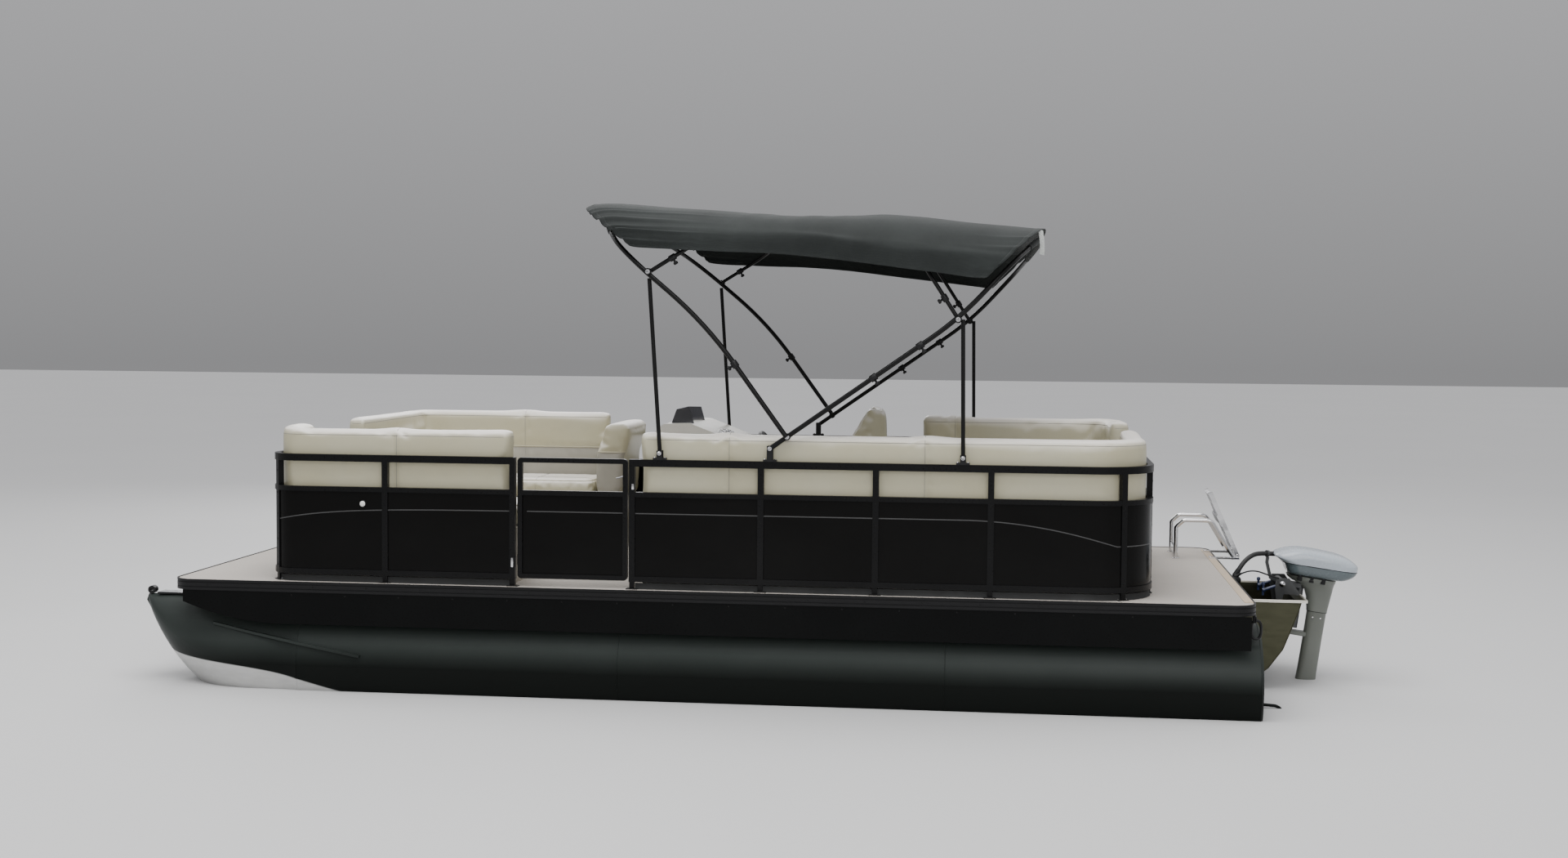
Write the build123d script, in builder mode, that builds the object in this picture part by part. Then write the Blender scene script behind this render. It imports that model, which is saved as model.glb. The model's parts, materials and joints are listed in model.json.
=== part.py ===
from build123d import *
import os
from math import cos, radians, sin, tan

os.makedirs("parts", exist_ok=True)

# Pontoon boat afloat. +X forward to the bow, +Y to port, +Z up, origin amidships on the waterline.
# Millimetres and degrees.

# Driving dimensions of the hull
beam = 2590
deck_length = 5825
deck_top = 595
deck_thickness = 40
deck_corner_radius = 110
trim_width = 10
trim_height = 55

pontoon_diameter = 660
pontoon_inset = 330
pontoon_centre_z = 140
pontoon_overhang = 37.5
nose_length = 988
nose_overhang = 275.5
riser_offset = 90
riser_thickness = 5
riser_flange = 34
riser_sink = 25

crossbeam_height = 55
crossbeam_flange = 40
crossbeam_wall = 4
crossbeam_end_inset = 280
crossbeam_side_inset = 30
crossbeam_count = 14

skirt_bottom = 366
skirt_thickness = 5
skirt_inset = 4
skirt_aft_inset = 32.5
skirt_tip_inset = 72.5
skirt_tip_bottom = 476
skirt_rise_length = 620

# Driving dimensions of the fence and gates
fence_inset = 70
fence_tube_width = 32
fence_tube_height = 38
bow_deck_length = 527.5
stern_deck_length = 512.5
fence_bow_radius = 150
fence_stern_radius = 300
fence_foot = 40
mid_rail_top = 520
top_rail_top = 695
panel_thickness = 5
gate_gap = 8
hinge_gap = 14
least_corner = 24
bottom_rail_height = 30
mid_rail_height = 26
panel_face = 8.5

# Driving dimensions of the seats, above the deck where they are heights
seat_clearance = 8
base_height = 300
base_wall = 20
cushion_thickness = 125
cushion_gap = 2
lid_gap = 6
back_thickness = 125
back_height = 850
seat_depth = 600
toe_kick = 45

# Values that follow from the hull
half_beam = beam / 2
half_deck = deck_length / 2
deck_bottom = deck_top - deck_thickness
pontoon_radius = pontoon_diameter / 2
crossbeam_bottom = deck_bottom - crossbeam_height
half_tube = fence_tube_width / 2
stern_edge = -half_deck
pontoon_y = half_beam - pontoon_inset
pontoon_aft_x = stern_edge - pontoon_overhang
nose_start_x = half_deck + nose_overhang - nose_length
fence_y = half_beam - fence_inset
fence_bow_x = half_deck - bow_deck_length
fence_stern_x = stern_edge + stern_deck_length


def bend_radii(points, share=0.45):
    """Radius of each bend, as large as the two runs beside it allow."""
    radii = []
    for before, here, after in zip(points, points[1:], points[2:]):
        arriving = Vector(*here) - Vector(*before)
        leaving = Vector(*after) - Vector(*here)
        turn = radians(arriving.get_angle(leaving))
        radii.append(share * min(arriving.length, leaving.length) / tan(turn / 2))
    return radii


def tube(points, diameter, radii=None):
    """A round tube along a route of straight runs and arcs."""
    with BuildPart() as pipe:
        with BuildLine() as route:
            if len(points) == 2:
                Line(*points)
            else:
                FilletPolyline(*points, radius=radii or bend_radii(points))
        with BuildSketch(Plane(origin=route.line @ 0, z_dir=route.line % 0)):
            Circle(diameter / 2)
        sweep(path=route.line)
    return pipe.part


def save(piece, name):
    """Label a finished piece and write it out."""
    piece.part.label = name
    export_step(piece.part, "parts/" + name + ".step")


# Pontoons: tube, raked nose, keel bar, deck risers and spray strake
pontoon_top = pontoon_centre_z + pontoon_radius
pontoon_bottom = pontoon_centre_z - pontoon_radius
# Nose sections: distance from the nose's start, half width, lowest and highest z
nose_sections = [
    (0, pontoon_radius, pontoon_bottom, pontoon_top),
    (320, 317, -166, 470),
    (600, 262, -52, 469),
    (800, 172, 130, 468),
    (920, 92, 304, 467),
    (nose_length, 14, 426, 465),
]
# Spray strake sections: distance from the nose's start, inner face from the tube's centre, height
strake_sections = [
    (-362, 318, 200),
    (0, 300, 262),
    (320, 262, 317),
    (500, 228, 348),
]
strake_width = 26
strake_thickness = 14
keel_width = 40
keel_depth = 16

# Stem bar: distance from the nose's start, height
stem_line = [(988, 462), (1000, 430), (860, 172), (696, 0), (500, -122), (240, -198)]
stem_width = 15
stem_depth = 34
hoop_tube = 17
hoop_y = pontoon_y - 60
hoop_route = [(pontoon_aft_x, hoop_y, 20), (pontoon_aft_x - 140, hoop_y, 12),
              (pontoon_aft_x - 160, hoop_y, -110), (pontoon_aft_x, hoop_y, -118)]

for side, side_name in ((1, "port"), (-1, "starboard")):
    centre_y = side * pontoon_y
    with BuildPart() as pontoon:
        with BuildSketch(Plane.YZ.offset(pontoon_aft_x)):
            with Locations((centre_y, pontoon_centre_z)):
                Circle(pontoon_radius)
        extrude(amount=nose_start_x - pontoon_aft_x)
        chamfer(pontoon.faces().sort_by(Axis.X)[0].edges(), 12)
        for along, half_width, low, high in nose_sections:
            with BuildSketch(Plane.YZ.offset(nose_start_x + along)):
                with Locations((centre_y, (low + high) / 2)):
                    Ellipse(half_width, (high - low) / 2)
        loft()
        # Keel bar along the bottom of the tube
        with BuildSketch(Plane.YZ.offset(pontoon_aft_x + 60)):
            with Locations((centre_y, pontoon_bottom + 2 - keel_depth / 2)):
                Rectangle(keel_width, keel_depth + 4)
        extrude(amount=nose_start_x + 150 - pontoon_aft_x - 60)
        # Angle risers that carry the crossbeams
        for edge in (-1, 1):
            riser_y = centre_y + edge * riser_offset
            with BuildSketch(Plane.YZ.offset(pontoon_aft_x + 90)):
                with BuildLine():
                    Polyline(
                        (riser_y, pontoon_top - riser_sink),
                        (riser_y, crossbeam_bottom),
                        (riser_y + edge * riser_flange, crossbeam_bottom),
                        (riser_y + edge * riser_flange, crossbeam_bottom - riser_thickness),
                        (riser_y + edge * riser_thickness, crossbeam_bottom - riser_thickness),
                        (riser_y + edge * riser_thickness, pontoon_top - riser_sink),
                        close=True,
                    )
                make_face()
            extrude(amount=half_deck - 180 - pontoon_aft_x - 90)
        # Spray strake on the outer side of the nose
        for along, inner, z in strake_sections:
            with BuildSketch(Plane.YZ.offset(nose_start_x + along)):
                with Locations((centre_y + side * (inner + strake_width / 2 - 8), z)):
                    Rectangle(strake_width + 16, strake_thickness)
        loft(ruled=True)
        # Stem bar down the nose
        outer_stem = [(nose_start_x + along, z) for along, z in stem_line]
        inner_stem = [(x - stem_depth, z) for x, z in reversed(outer_stem)]
        with BuildSketch(Plane.XZ.offset(-centre_y - stem_width / 2)):
            Polygon(*outer_stem, *inner_stem, align=None)
        extrude(amount=stem_width)
        # The port tube carries a guard hoop at its aft end
        if side_name == "port":
            add(tube(hoop_route, hoop_tube, [50, 40]))
    save(pontoon, "pontoon_" + side_name)

# Nose fittings: step plate on top of the nose and towing eye on each pontoon
eye_radius = 22
eye_bore = 9
eye_width = 40
eye_z = 488
eye_x = nose_start_x + 966
plate_length = 200
plate_x = nose_start_x + 820
with BuildPart() as nose_fittings:
    for side in (1, -1):
        centre_y = side * pontoon_y
        with Locations((plate_x, centre_y, pontoon_top + 4)):
            Box(plate_length, 90, 10)
        with BuildSketch(Plane.XZ.offset(-centre_y - eye_width / 2)):
            with Locations((eye_x, eye_z)):
                Circle(eye_radius)
                Circle(eye_bore, mode=Mode.SUBTRACT)
        extrude(amount=eye_width)
save(nose_fittings, "nose_fittings")

# Crossbeams: open channels across both pontoons
crossbeam_spacing = (deck_length - 2 * crossbeam_end_inset) / (crossbeam_count - 1)
with BuildPart() as crossbeams:
    for index in range(crossbeam_count):
        x = (index - (crossbeam_count - 1) / 2) * crossbeam_spacing
        with BuildSketch(Plane.XZ.offset(crossbeam_side_inset - half_beam)):
            with BuildLine():
                Polyline(
                    (x, deck_bottom),
                    (x + crossbeam_flange, deck_bottom),
                    (x + crossbeam_flange, deck_bottom - crossbeam_wall),
                    (x + crossbeam_wall, deck_bottom - crossbeam_wall),
                    (x + crossbeam_wall, crossbeam_bottom + crossbeam_wall),
                    (x + crossbeam_flange, crossbeam_bottom + crossbeam_wall),
                    (x + crossbeam_flange, crossbeam_bottom),
                    (x, crossbeam_bottom),
                    close=True,
                )
            make_face()
        extrude(amount=beam - 2 * crossbeam_side_inset)
save(crossbeams, "crossbeams")

# Deck board and the ribbed trim around its edge
with BuildPart() as deck:
    with BuildSketch(Plane.XY.offset(deck_bottom)):
        RectangleRounded(deck_length - 2 * trim_width, beam - 2 * trim_width, deck_corner_radius)
    extrude(amount=deck_thickness)
save(deck, "deck")

with BuildPart() as deck_trim:
    with BuildSketch(Plane.XY.offset(deck_top - trim_height)):
        RectangleRounded(deck_length, beam, deck_corner_radius + trim_width)
        RectangleRounded(deck_length - 2 * trim_width, beam - 2 * trim_width, deck_corner_radius,
                         mode=Mode.SUBTRACT)
    extrude(amount=trim_height + 3)
    # Two grooves leave three ribs
    for groove_top in (15, 40):
        with BuildSketch(Plane.XY.offset(deck_top - groove_top)):
            RectangleRounded(deck_length + 20, beam + 20, deck_corner_radius + trim_width + 10)
            RectangleRounded(deck_length - 8, beam - 8, deck_corner_radius + trim_width - 4,
                             mode=Mode.SUBTRACT)
        extrude(amount=6, mode=Mode.SUBTRACT)
save(deck_trim, "deck_trim")

# Side skirts below the trim, rising to the bow
skirt_top = deck_top - trim_height
skirt_aft_x = stern_edge + skirt_aft_inset
skirt_tip_x = half_deck - skirt_tip_inset
skirt_rise_x = skirt_tip_x - skirt_rise_length
with BuildPart() as side_skirts:
    for side in (1, -1):
        outer = half_beam - skirt_inset
        plane_y = outer if side == 1 else -outer + skirt_thickness
        with BuildSketch(Plane.XZ.offset(-plane_y)):
            with BuildLine():
                Polyline(
                    (skirt_tip_x, skirt_tip_bottom),
                    (skirt_tip_x, skirt_top),
                    (skirt_aft_x, skirt_top),
                    (skirt_aft_x, skirt_bottom),
                    (skirt_rise_x, skirt_bottom),
                )
                ThreePointArc(
                    (skirt_rise_x, skirt_bottom),
                    (skirt_rise_x + 0.55 * skirt_rise_length, skirt_bottom + 28),
                    (skirt_tip_x, skirt_tip_bottom),
                )
            make_face()
        extrude(amount=skirt_thickness)
save(side_skirts, "side_skirts")

# Motor pod: an open welded box under the aft deck with a raked transom
pod_half_width = 375
pod_wall = 8
pod_top = crossbeam_bottom
pod_flange_width = 25
pod_overhang = 349.5
pod_length = 932
pod_notch = 135
transom_top_x = stern_edge - pod_overhang
pod_bow_x = transom_top_x + pod_length
# Pod outline seen from the side: distance from the transom's top, height
pod_outline = [(pod_length, pod_top), (782, 260), (502, 70), (272, 45), (174, 121), (97, 226),
               (26, 411), (0, pod_top)]
pod_profile = [(transom_top_x + along, z) for along, z in pod_outline]
pod_mouth_x = (transom_top_x + 30, pod_bow_x - 50)
with BuildPart() as motor_pod:
    with BuildSketch(Plane.XZ.offset(-pod_half_width)) as pod_side:
        Polygon(*pod_profile, align=None)
    extrude(amount=2 * pod_half_width)
    with BuildSketch(Plane.XZ.offset(-pod_half_width + pod_wall)):
        Polygon(*pod_profile, align=None)
        offset(amount=-pod_wall)
        with Locations((sum(pod_mouth_x) / 2, pod_top)):
            Rectangle(pod_mouth_x[1] - pod_mouth_x[0], 2 * pod_wall + 20)
    extrude(amount=2 * (pod_half_width - pod_wall), mode=Mode.SUBTRACT)
    # Flange around the well's rim, aft of the deck
    flange_start = stern_edge - 8
    with BuildSketch(Plane.XY.offset(pod_top - 6)):
        with Locations(((flange_start + transom_top_x - pod_flange_width) / 2, 0)):
            Rectangle(flange_start - transom_top_x + pod_flange_width, 2 * pod_half_width + 50)
        with Locations(((flange_start + 100 + transom_top_x + pod_wall + 4) / 2, 0)):
            Rectangle(flange_start + 100 - transom_top_x - pod_wall - 4,
                      2 * (pod_half_width - pod_wall), mode=Mode.SUBTRACT)
        with Locations((transom_top_x - pod_flange_width, 0)):
            Rectangle(2 * pod_flange_width, 2 * pod_notch, mode=Mode.SUBTRACT)
    extrude(amount=6)
save(motor_pod, "motor_pod")

# Fence. Posts stand on the deck; rails and panels run between them
gate_port = (376, 985)
gate_bow = (140, 800)
gate_stern = (-450, 150)
bow_line = fence_bow_x - half_tube
stern_line = fence_stern_x + half_tube
side_posts = [1713, -339, -947, -1548]
bow_corner_angle = 45
stern_corner_angle = 29
foot_width = fence_tube_width - 6
# Rails: height of the lower edge above the deck, depth
rail_levels = [
    (fence_foot, bottom_rail_height),
    (mid_rail_top - mid_rail_height, mid_rail_height),
    (top_rail_top - fence_tube_height, fence_tube_height),
]


def fence_plan(reach, mode=Mode.ADD):
    """Add the plan inside the fence line, grown by this reach, to the sketch in hand."""
    length = bow_line - stern_line
    middle = (bow_line + stern_line) / 2
    with BuildSketch(mode=Mode.PRIVATE) as outline:
        with Locations((middle, 0)):
            Rectangle(length + 2 * reach, 2 * fence_y + 2 * reach)
        bow_corners = outline.vertices().group_by(Axis.X)[-1]
        fillet(bow_corners, max(fence_bow_radius + reach, least_corner))
        stern_corners = outline.vertices().group_by(Axis.X)[0]
        fillet(stern_corners, max(fence_stern_radius + reach, least_corner))
    add(outline.sketch, mode=mode)


def fence_ring(outward, inward):
    """Face of a band that follows the fence line, this far outside and inside its centre."""
    fence_plan(outward)
    fence_plan(-inward, mode=Mode.SUBTRACT)


def corner_post(side, end, line, radius, angle):
    """Place and turn of a post on a corner's arc, this angle round from the boat's side."""
    return (line + end * radius * (sin(radians(angle)) - 1),
            side * (fence_y + radius * (cos(radians(angle)) - 1)), -side * end * angle)


# Posts: x, y, turn
fence_posts_plan = [
    (gate_port[1] + 4 + half_tube, fence_y, 0),
    (gate_port[0] - gate_gap - half_tube, fence_y, 0),
    (gate_port[1] + 4 + half_tube, -fence_y, 0),
    (gate_port[0] - gate_gap - half_tube, -fence_y, 0),
    (bow_line, gate_bow[1] + gate_gap + half_tube, 0),
    (bow_line, gate_bow[0] - hinge_gap - half_tube, 0),
    (bow_line, -700, 0),
    (stern_line, gate_stern[1] + gate_gap + half_tube, 0),
    (stern_line, gate_stern[0] - hinge_gap - half_tube, 0),
    (stern_line, 860, 0),
    (stern_line, -860, 0),
]
for side in (1, -1):
    fence_posts_plan += [(x, side * fence_y, 0) for x in side_posts]
    fence_posts_plan.append(corner_post(side, 1, bow_line, fence_bow_radius, bow_corner_angle))
    fence_posts_plan.append(corner_post(side, -1, stern_line, fence_stern_radius, stern_corner_angle))


def post_boxes(width, low, high, mode=Mode.ADD):
    """A box at every post between these heights above the deck, for the part in hand."""
    for x, y, turn in fence_posts_plan:
        with Locations(Location((x, y, deck_top + (low + high) / 2), (0, 0, turn))):
            Box(width, width, high - low, mode=mode)


def keep_section(x_range, y_range):
    """Cut the part in hand down to one section of the fence."""
    with Locations((sum(x_range) / 2, sum(y_range) / 2, deck_top + top_rail_top / 2)):
        Box(x_range[1] - x_range[0], y_range[1] - y_range[0], 2 * top_rail_top, mode=Mode.INTERSECT)
    if y_range[0] < 0:
        with Locations((stern_line, gate_stern[0] - hinge_gap + beam / 2, deck_top + top_rail_top / 2)):
            Box(4 * fence_tube_width, beam, 2 * top_rail_top, mode=Mode.SUBTRACT)


# Sections: name, x range, y range
fence_sections = [
    ("port_bow", (gate_port[1] + 4, half_deck), (gate_bow[1] + gate_gap, half_beam)),
    ("port_aft", (stern_edge, gate_port[0] - gate_gap), (gate_stern[1] + gate_gap, half_beam)),
    ("starboard", (stern_edge, half_deck), (-half_beam, gate_bow[0] - hinge_gap)),
]
with BuildPart() as fence_posts:
    post_boxes(fence_tube_width, fence_foot, top_rail_top)
    post_boxes(foot_width, 0, fence_foot)
save(fence_posts, "fence_posts")

for name, x_range, y_range in fence_sections:
    with BuildPart() as fence_rails:
        for level, height in rail_levels:
            with BuildSketch(Plane.XY.offset(deck_top + level)):
                fence_ring(half_tube, half_tube)
            extrude(amount=height)
        keep_section(x_range, y_range)
        post_boxes(fence_tube_width, 0, top_rail_top + fence_foot, mode=Mode.SUBTRACT)
    save(fence_rails, "fence_rails_" + name)

with BuildPart() as fence_panels:
    for name, x_range, y_range in fence_sections:
        with BuildPart() as run_of_panels:
            with BuildSketch(Plane.XY.offset(deck_top + fence_foot + bottom_rail_height)):
                fence_ring(panel_face, panel_thickness - panel_face)
            extrude(amount=mid_rail_top - mid_rail_height - fence_foot - bottom_rail_height)
            keep_section(x_range, y_range)
            post_boxes(fence_tube_width, 0, top_rail_top, mode=Mode.SUBTRACT)
        add(run_of_panels.part)
save(fence_panels, "fence_panels")

# Gates: frame, hinge barrels, latch and panel, each built along its own line
gate_frame_tube = 26
gate_corner = 22
hinge_radius = 7
hinge_length = 70
hinge_link = 14
hinge_heights = (140, 420)
# Gates: name, corner at one end, corner at the other, hinge at the far end
gate_table = [
    ("port", (gate_port[0], fence_y), (gate_port[1] - 8, fence_y), (gate_port[1] - 10, fence_y - 22)),
    ("bow", (bow_line, gate_bow[1]), (bow_line, gate_bow[0] + 4), (bow_line - 22, gate_bow[0])),
    ("stern", (stern_line, gate_stern[1]), (stern_line, gate_stern[0] + 4),
     (stern_line + 22, gate_stern[0])),
]
gate_foot = fence_foot + 5
for name, free_end, hinge_end, pivot in gate_table:
    run = Vector(*hinge_end) - Vector(*free_end)
    along = run.normalized()
    length = run.length
    middle = ((free_end[0] + hinge_end[0]) / 2, (free_end[1] + hinge_end[1]) / 2)
    upright = Plane(origin=(*free_end, deck_top), x_dir=(along.X, along.Y, 0),
                    z_dir=(along.Y, -along.X, 0))
    with BuildPart() as gate_frame:
        with BuildSketch(upright.offset(-gate_frame_tube / 2)):
            with Locations((length / 2, (gate_foot + top_rail_top) / 2)):
                RectangleRounded(length, top_rail_top - gate_foot, gate_corner)
                Rectangle(length - 2 * gate_frame_tube, top_rail_top - gate_foot - 2 * gate_frame_tube,
                          mode=Mode.SUBTRACT)
            with Locations((length / 2, mid_rail_top - gate_frame_tube / 2)):
                Rectangle(length - 20, gate_frame_tube)
        extrude(amount=gate_frame_tube)
        for height in hinge_heights:
            with Locations((*pivot, deck_top + height)):
                Cylinder(hinge_radius, hinge_length)
            with Locations(((pivot[0] + hinge_end[0]) / 2, (pivot[1] + hinge_end[1]) / 2,
                            deck_top + height)):
                Box(hinge_link, hinge_link, hinge_length - 20)
    save(gate_frame, "gate_frame_" + name)
    with BuildPart() as gate_panel:
        with BuildSketch(upright.offset(-panel_thickness / 2)):
            with Locations((length / 2, (gate_foot + mid_rail_top) / 2)):
                Rectangle(length - 2 * gate_frame_tube, mid_rail_top - gate_foot - 2 * gate_frame_tube)
        extrude(amount=panel_thickness)
    save(gate_panel, "gate_panel_" + name)

# Seats. Each has a hollow base, a back that follows the fence and a cushion that lifts as a lid
seat_outer = fence_y - half_tube - seat_clearance
seat_inner = seat_outer - seat_depth
seat_inset = half_tube + seat_clearance
cushion_inset = half_tube + seat_clearance + back_thickness + lid_gap
seat_bow_x = fence_bow_x - fence_tube_width - seat_clearance
seat_stern_x = fence_stern_x + fence_tube_width + seat_clearance
base_top = deck_top + base_height
cushion_bottom = base_top + cushion_gap
cushion_top = cushion_bottom + cushion_thickness
back_top = deck_top + back_height
back_front = seat_outer - back_thickness
cushion_round = 26
cushion_corner = 34
back_round = 40
back_corner = 52


def box_between(x_range, y_range, z_range, mode=Mode.ADD):
    """Add a block that fills these ranges to the part in hand."""
    centre = [(low + high) / 2 for low, high in (x_range, y_range, z_range)]
    size = [abs(high - low) for low, high in (x_range, y_range, z_range)]
    with Locations(tuple(centre)):
        Box(*size, mode=mode)


def seat_solid(rectangles, z_range, corner, rounding, inside, band=False):
    """A solid over these rectangles, this far inside the fence line, with rounded top edges.

    As a band it keeps only the depth of a seat back along the fence.
    """
    with BuildPart() as solid:
        with BuildSketch(Plane.XY.offset(z_range[0])):
            for (x_low, x_high), (y_low, y_high) in rectangles:
                with Locations(((x_low + x_high) / 2, (y_low + y_high) / 2)):
                    if corner:
                        RectangleRounded(x_high - x_low, y_high - y_low, corner)
                    else:
                        Rectangle(x_high - x_low, y_high - y_low)
            fence_plan(-inside, mode=Mode.INTERSECT)
            if band:
                fence_plan(-inside - back_thickness, mode=Mode.SUBTRACT)
        extrude(amount=z_range[1] - z_range[0])
        if rounding:
            fillet(solid.faces().group_by(Axis.Z)[-1].edges(), rounding)
    return solid.part


def reclined_back(y_range):
    """The lounge's end back, which leans towards the stern."""
    with BuildPart() as solid:
        with BuildSketch(Plane.XZ.offset(-y_range[1])):
            with BuildLine():
                FilletPolyline(*[(end_back_front + along, deck_top + z) for along, z in end_back_outline],
                               radius=[2, 2, end_back_round, end_back_round, end_back_round,
                                       end_back_round], close=True)
            make_face()
        extrude(amount=y_range[1] - y_range[0])
    return solid.part


def bench(name, side, lid_range, backs, fixed, bases, end_back=None):
    """Write one bench: hollow base, backs, fixed cushions and the lifting cushion."""
    y_in = side * seat_inner
    with BuildPart() as base:
        add(seat_solid(bases, (deck_top, base_top), 0, 0, seat_inset))
        store_x = (lid_range[0] + base_wall, lid_range[1] - base_wall)
        store_y = sorted((y_in + side * (toe_kick + base_wall), side * (back_front - 30)))
        box_between(store_x, store_y, (deck_top + base_wall, base_top + 1), mode=Mode.SUBTRACT)
    save(base, name + "_base")
    with BuildPart() as back:
        add(seat_solid(backs, (base_top, back_top), back_corner, back_round, seat_inset, band=True))
        if end_back:
            add(reclined_back(end_back))
    save(back, name + "_back")
    with BuildPart() as lid:
        lid_y = sorted((y_in, side * (back_front - lid_gap)))
        add(seat_solid([(lid_range, lid_y)], (cushion_bottom, cushion_top), cushion_corner, cushion_round,
                       cushion_inset))
    save(lid, name + "_lid")
    if fixed:
        with BuildPart() as rest:
            for plan in fixed:
                add(seat_solid([plan], (cushion_bottom, cushion_top), cushion_corner, cushion_round,
                               cushion_inset))
        save(rest, name + "_seat")


port_bow_x = (gate_port[1] + 33, seat_bow_x)
port_aft_x = (seat_stern_x, gate_port[0] - 46)
starboard_aft_x = (seat_stern_x, -1070)
# Reclined end back seen from the side: distance from its lower front edge, height above the deck
end_back_front = 970
end_back_height = 792
end_back_outline = [(-170, base_height), (0, base_height), (-2, 590), (-70, end_back_height),
                    (-258, end_back_height), (-180, 590)]
end_back_round = 45
wrap_front = seat_bow_x - back_thickness
wrap_stern = seat_stern_x + back_thickness
bow_wrap_y = gate_bow[0] - 45
stern_wrap_y = gate_stern[1] + 50
port_wrap_y = gate_bow[1] + 80
# Inner corner of the stern backs, which the lids stay clear of
stern_corner_x = fence_stern_x + fence_stern_radius + 80

bench("port_bow_bench", 1, (port_bow_x[0] + 6, 1700),
      backs=[(port_bow_x, (port_wrap_y, seat_outer))],
      fixed=[((1700 + lid_gap, wrap_front - lid_gap), (seat_inner + 190, back_front - lid_gap))],
      bases=[((port_bow_x[0] + 6, 1700 + lid_gap), (seat_inner + toe_kick, seat_outer)),
             ((1700 + lid_gap, seat_bow_x), (seat_inner + 230, seat_outer))])
bench("port_aft_lounge", 1, (-1700, -180),
      backs=[(port_aft_x, (600, seat_outer)), ((seat_stern_x, -1600), (stern_wrap_y, seat_outer))],
      fixed=[((-180 + lid_gap, port_aft_x[1] - 10), (seat_inner, back_front - lid_gap)),
             ((wrap_stern + lid_gap, -1700 - lid_gap), (stern_wrap_y, back_front - lid_gap))],
      bases=[((seat_stern_x, port_aft_x[1] - 30), (seat_inner + toe_kick, seat_outer)),
             ((seat_stern_x, -1760), (stern_wrap_y + 10, seat_outer))])
bench("starboard_bow_lounge", -1, (end_back_front + 15, 1740),
      backs=[((end_back_front + 8, seat_bow_x), (-seat_outer, -600)),
             ((1700, seat_bow_x), (-seat_outer, bow_wrap_y))],
      end_back=(-seat_outer + 20, -seat_inner),
      fixed=[((1740 + lid_gap, wrap_front - lid_gap), (-back_front + lid_gap, bow_wrap_y))],
      bases=[((end_back_front - 150, seat_bow_x), (-seat_outer, -seat_inner - toe_kick)),
             ((1790, seat_bow_x), (-seat_outer, bow_wrap_y - 15))])
bench("starboard_aft_bench", -1, (stern_corner_x, starboard_aft_x[1] - 10),
      backs=[(starboard_aft_x, (-seat_outer, -600))],
      fixed=[((wrap_stern + lid_gap, stern_corner_x - lid_gap), (-back_front + lid_gap, -seat_inner))],
      bases=[(starboard_aft_x, (-seat_outer, -seat_inner - toe_kick))])

# Helm: console with its steering column and throttle, steering wheel and low windscreen
console_width = 771
console_y = (-seat_outer, console_width - seat_outer)
helm_inset = 575
helm_y = helm_inset - half_beam
wheel_radius = 165
wheel_rim = 15
wheel_tilt = 32
wheel_x = -165
wheel_height = 590
hub_radius = 36
hub_back = 30
column_radius = 30
column_length = 115
# Console outline seen from the side: x, height above the deck, corner radius
console_outline = [
    (60, 1, 4), (500, 1, 4), (575, 560, 60), (556, 745, 60), (500, 798, 50), (330, 802, 120),
    (60, 700, 60), (-60, 560, 15), (-60, 510, 15), (60, 470, 20),
]
throttle_x = 120
throttle_height = 600
wheel_plane = Plane(origin=(wheel_x, helm_y, deck_top + wheel_height), x_dir=(0, 1, 0),
                    z_dir=(-cos(radians(wheel_tilt)), 0, sin(radians(wheel_tilt))))
with BuildPart() as helm_console:
    with BuildSketch(Plane.XZ.offset(-console_y[0])):
        with BuildLine():
            FilletPolyline(*[(x, deck_top + z) for x, z, radius in console_outline],
                           radius=[radius for x, z, radius in console_outline], close=True)
        make_face()
    extrude(amount=-(console_y[1] - console_y[0]))
    with BuildSketch(wheel_plane.offset(-hub_back - 1)):
        Circle(column_radius)
    extrude(amount=-column_length)
    # Throttle box and lever on the inboard side
    with Locations((throttle_x, console_y[1] + 20, deck_top + throttle_height)):
        Box(90, 40, 90)
    add(tube([(throttle_x, console_y[1] + 40, deck_top + throttle_height + 10),
              (throttle_x, console_y[1] + 62, deck_top + throttle_height + 30),
              (throttle_x, console_y[1] + 66, deck_top + throttle_height + 115)], 14, [12]))
save(helm_console, "helm_console")

with BuildPart() as steering_wheel:
    with BuildSketch(Plane(origin=wheel_plane.origin, x_dir=wheel_plane.z_dir,
                           z_dir=wheel_plane.x_dir)):
        with Locations((0, wheel_radius)):
            Circle(wheel_rim)
    revolve(axis=Axis(wheel_plane.origin, wheel_plane.z_dir))
    with BuildSketch(wheel_plane.offset(-hub_back)):
        Circle(hub_radius)
    extrude(amount=hub_back + 12)
    for angle in (90, 210, 330):
        with BuildSketch(wheel_plane.offset(-8)):
            with PolarLocations(wheel_radius / 2, 1, start_angle=angle):
                Rectangle(wheel_radius, 26)
        extrude(amount=8)
save(steering_wheel, "steering_wheel")

# Low windscreen that wraps round the console's top
screen_width = 420
screen_thickness = 6
screen_foot = 798
screen_outline = [(320, screen_foot), (462, screen_foot), (430, 886), (345, 886)]
with BuildPart() as helm_windscreen:
    with BuildSketch(Plane.XZ.offset(-helm_y - screen_width / 2)):
        Polygon(*[(x, deck_top + z) for x, z in screen_outline], align=None)
    extrude(amount=screen_width)
    with BuildSketch(Plane.XZ.offset(-helm_y - screen_width / 2 + screen_thickness)):
        Polygon(*[(x - screen_thickness, deck_top + z) for x, z in screen_outline], align=None)
        with Locations((screen_outline[0][0], deck_top + screen_foot)):
            Rectangle(100, 400)
    extrude(amount=screen_width - 2 * screen_thickness, mode=Mode.SUBTRACT)
    add(helm_console.part, mode=Mode.SUBTRACT)
save(helm_windscreen, "helm_windscreen")

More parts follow.
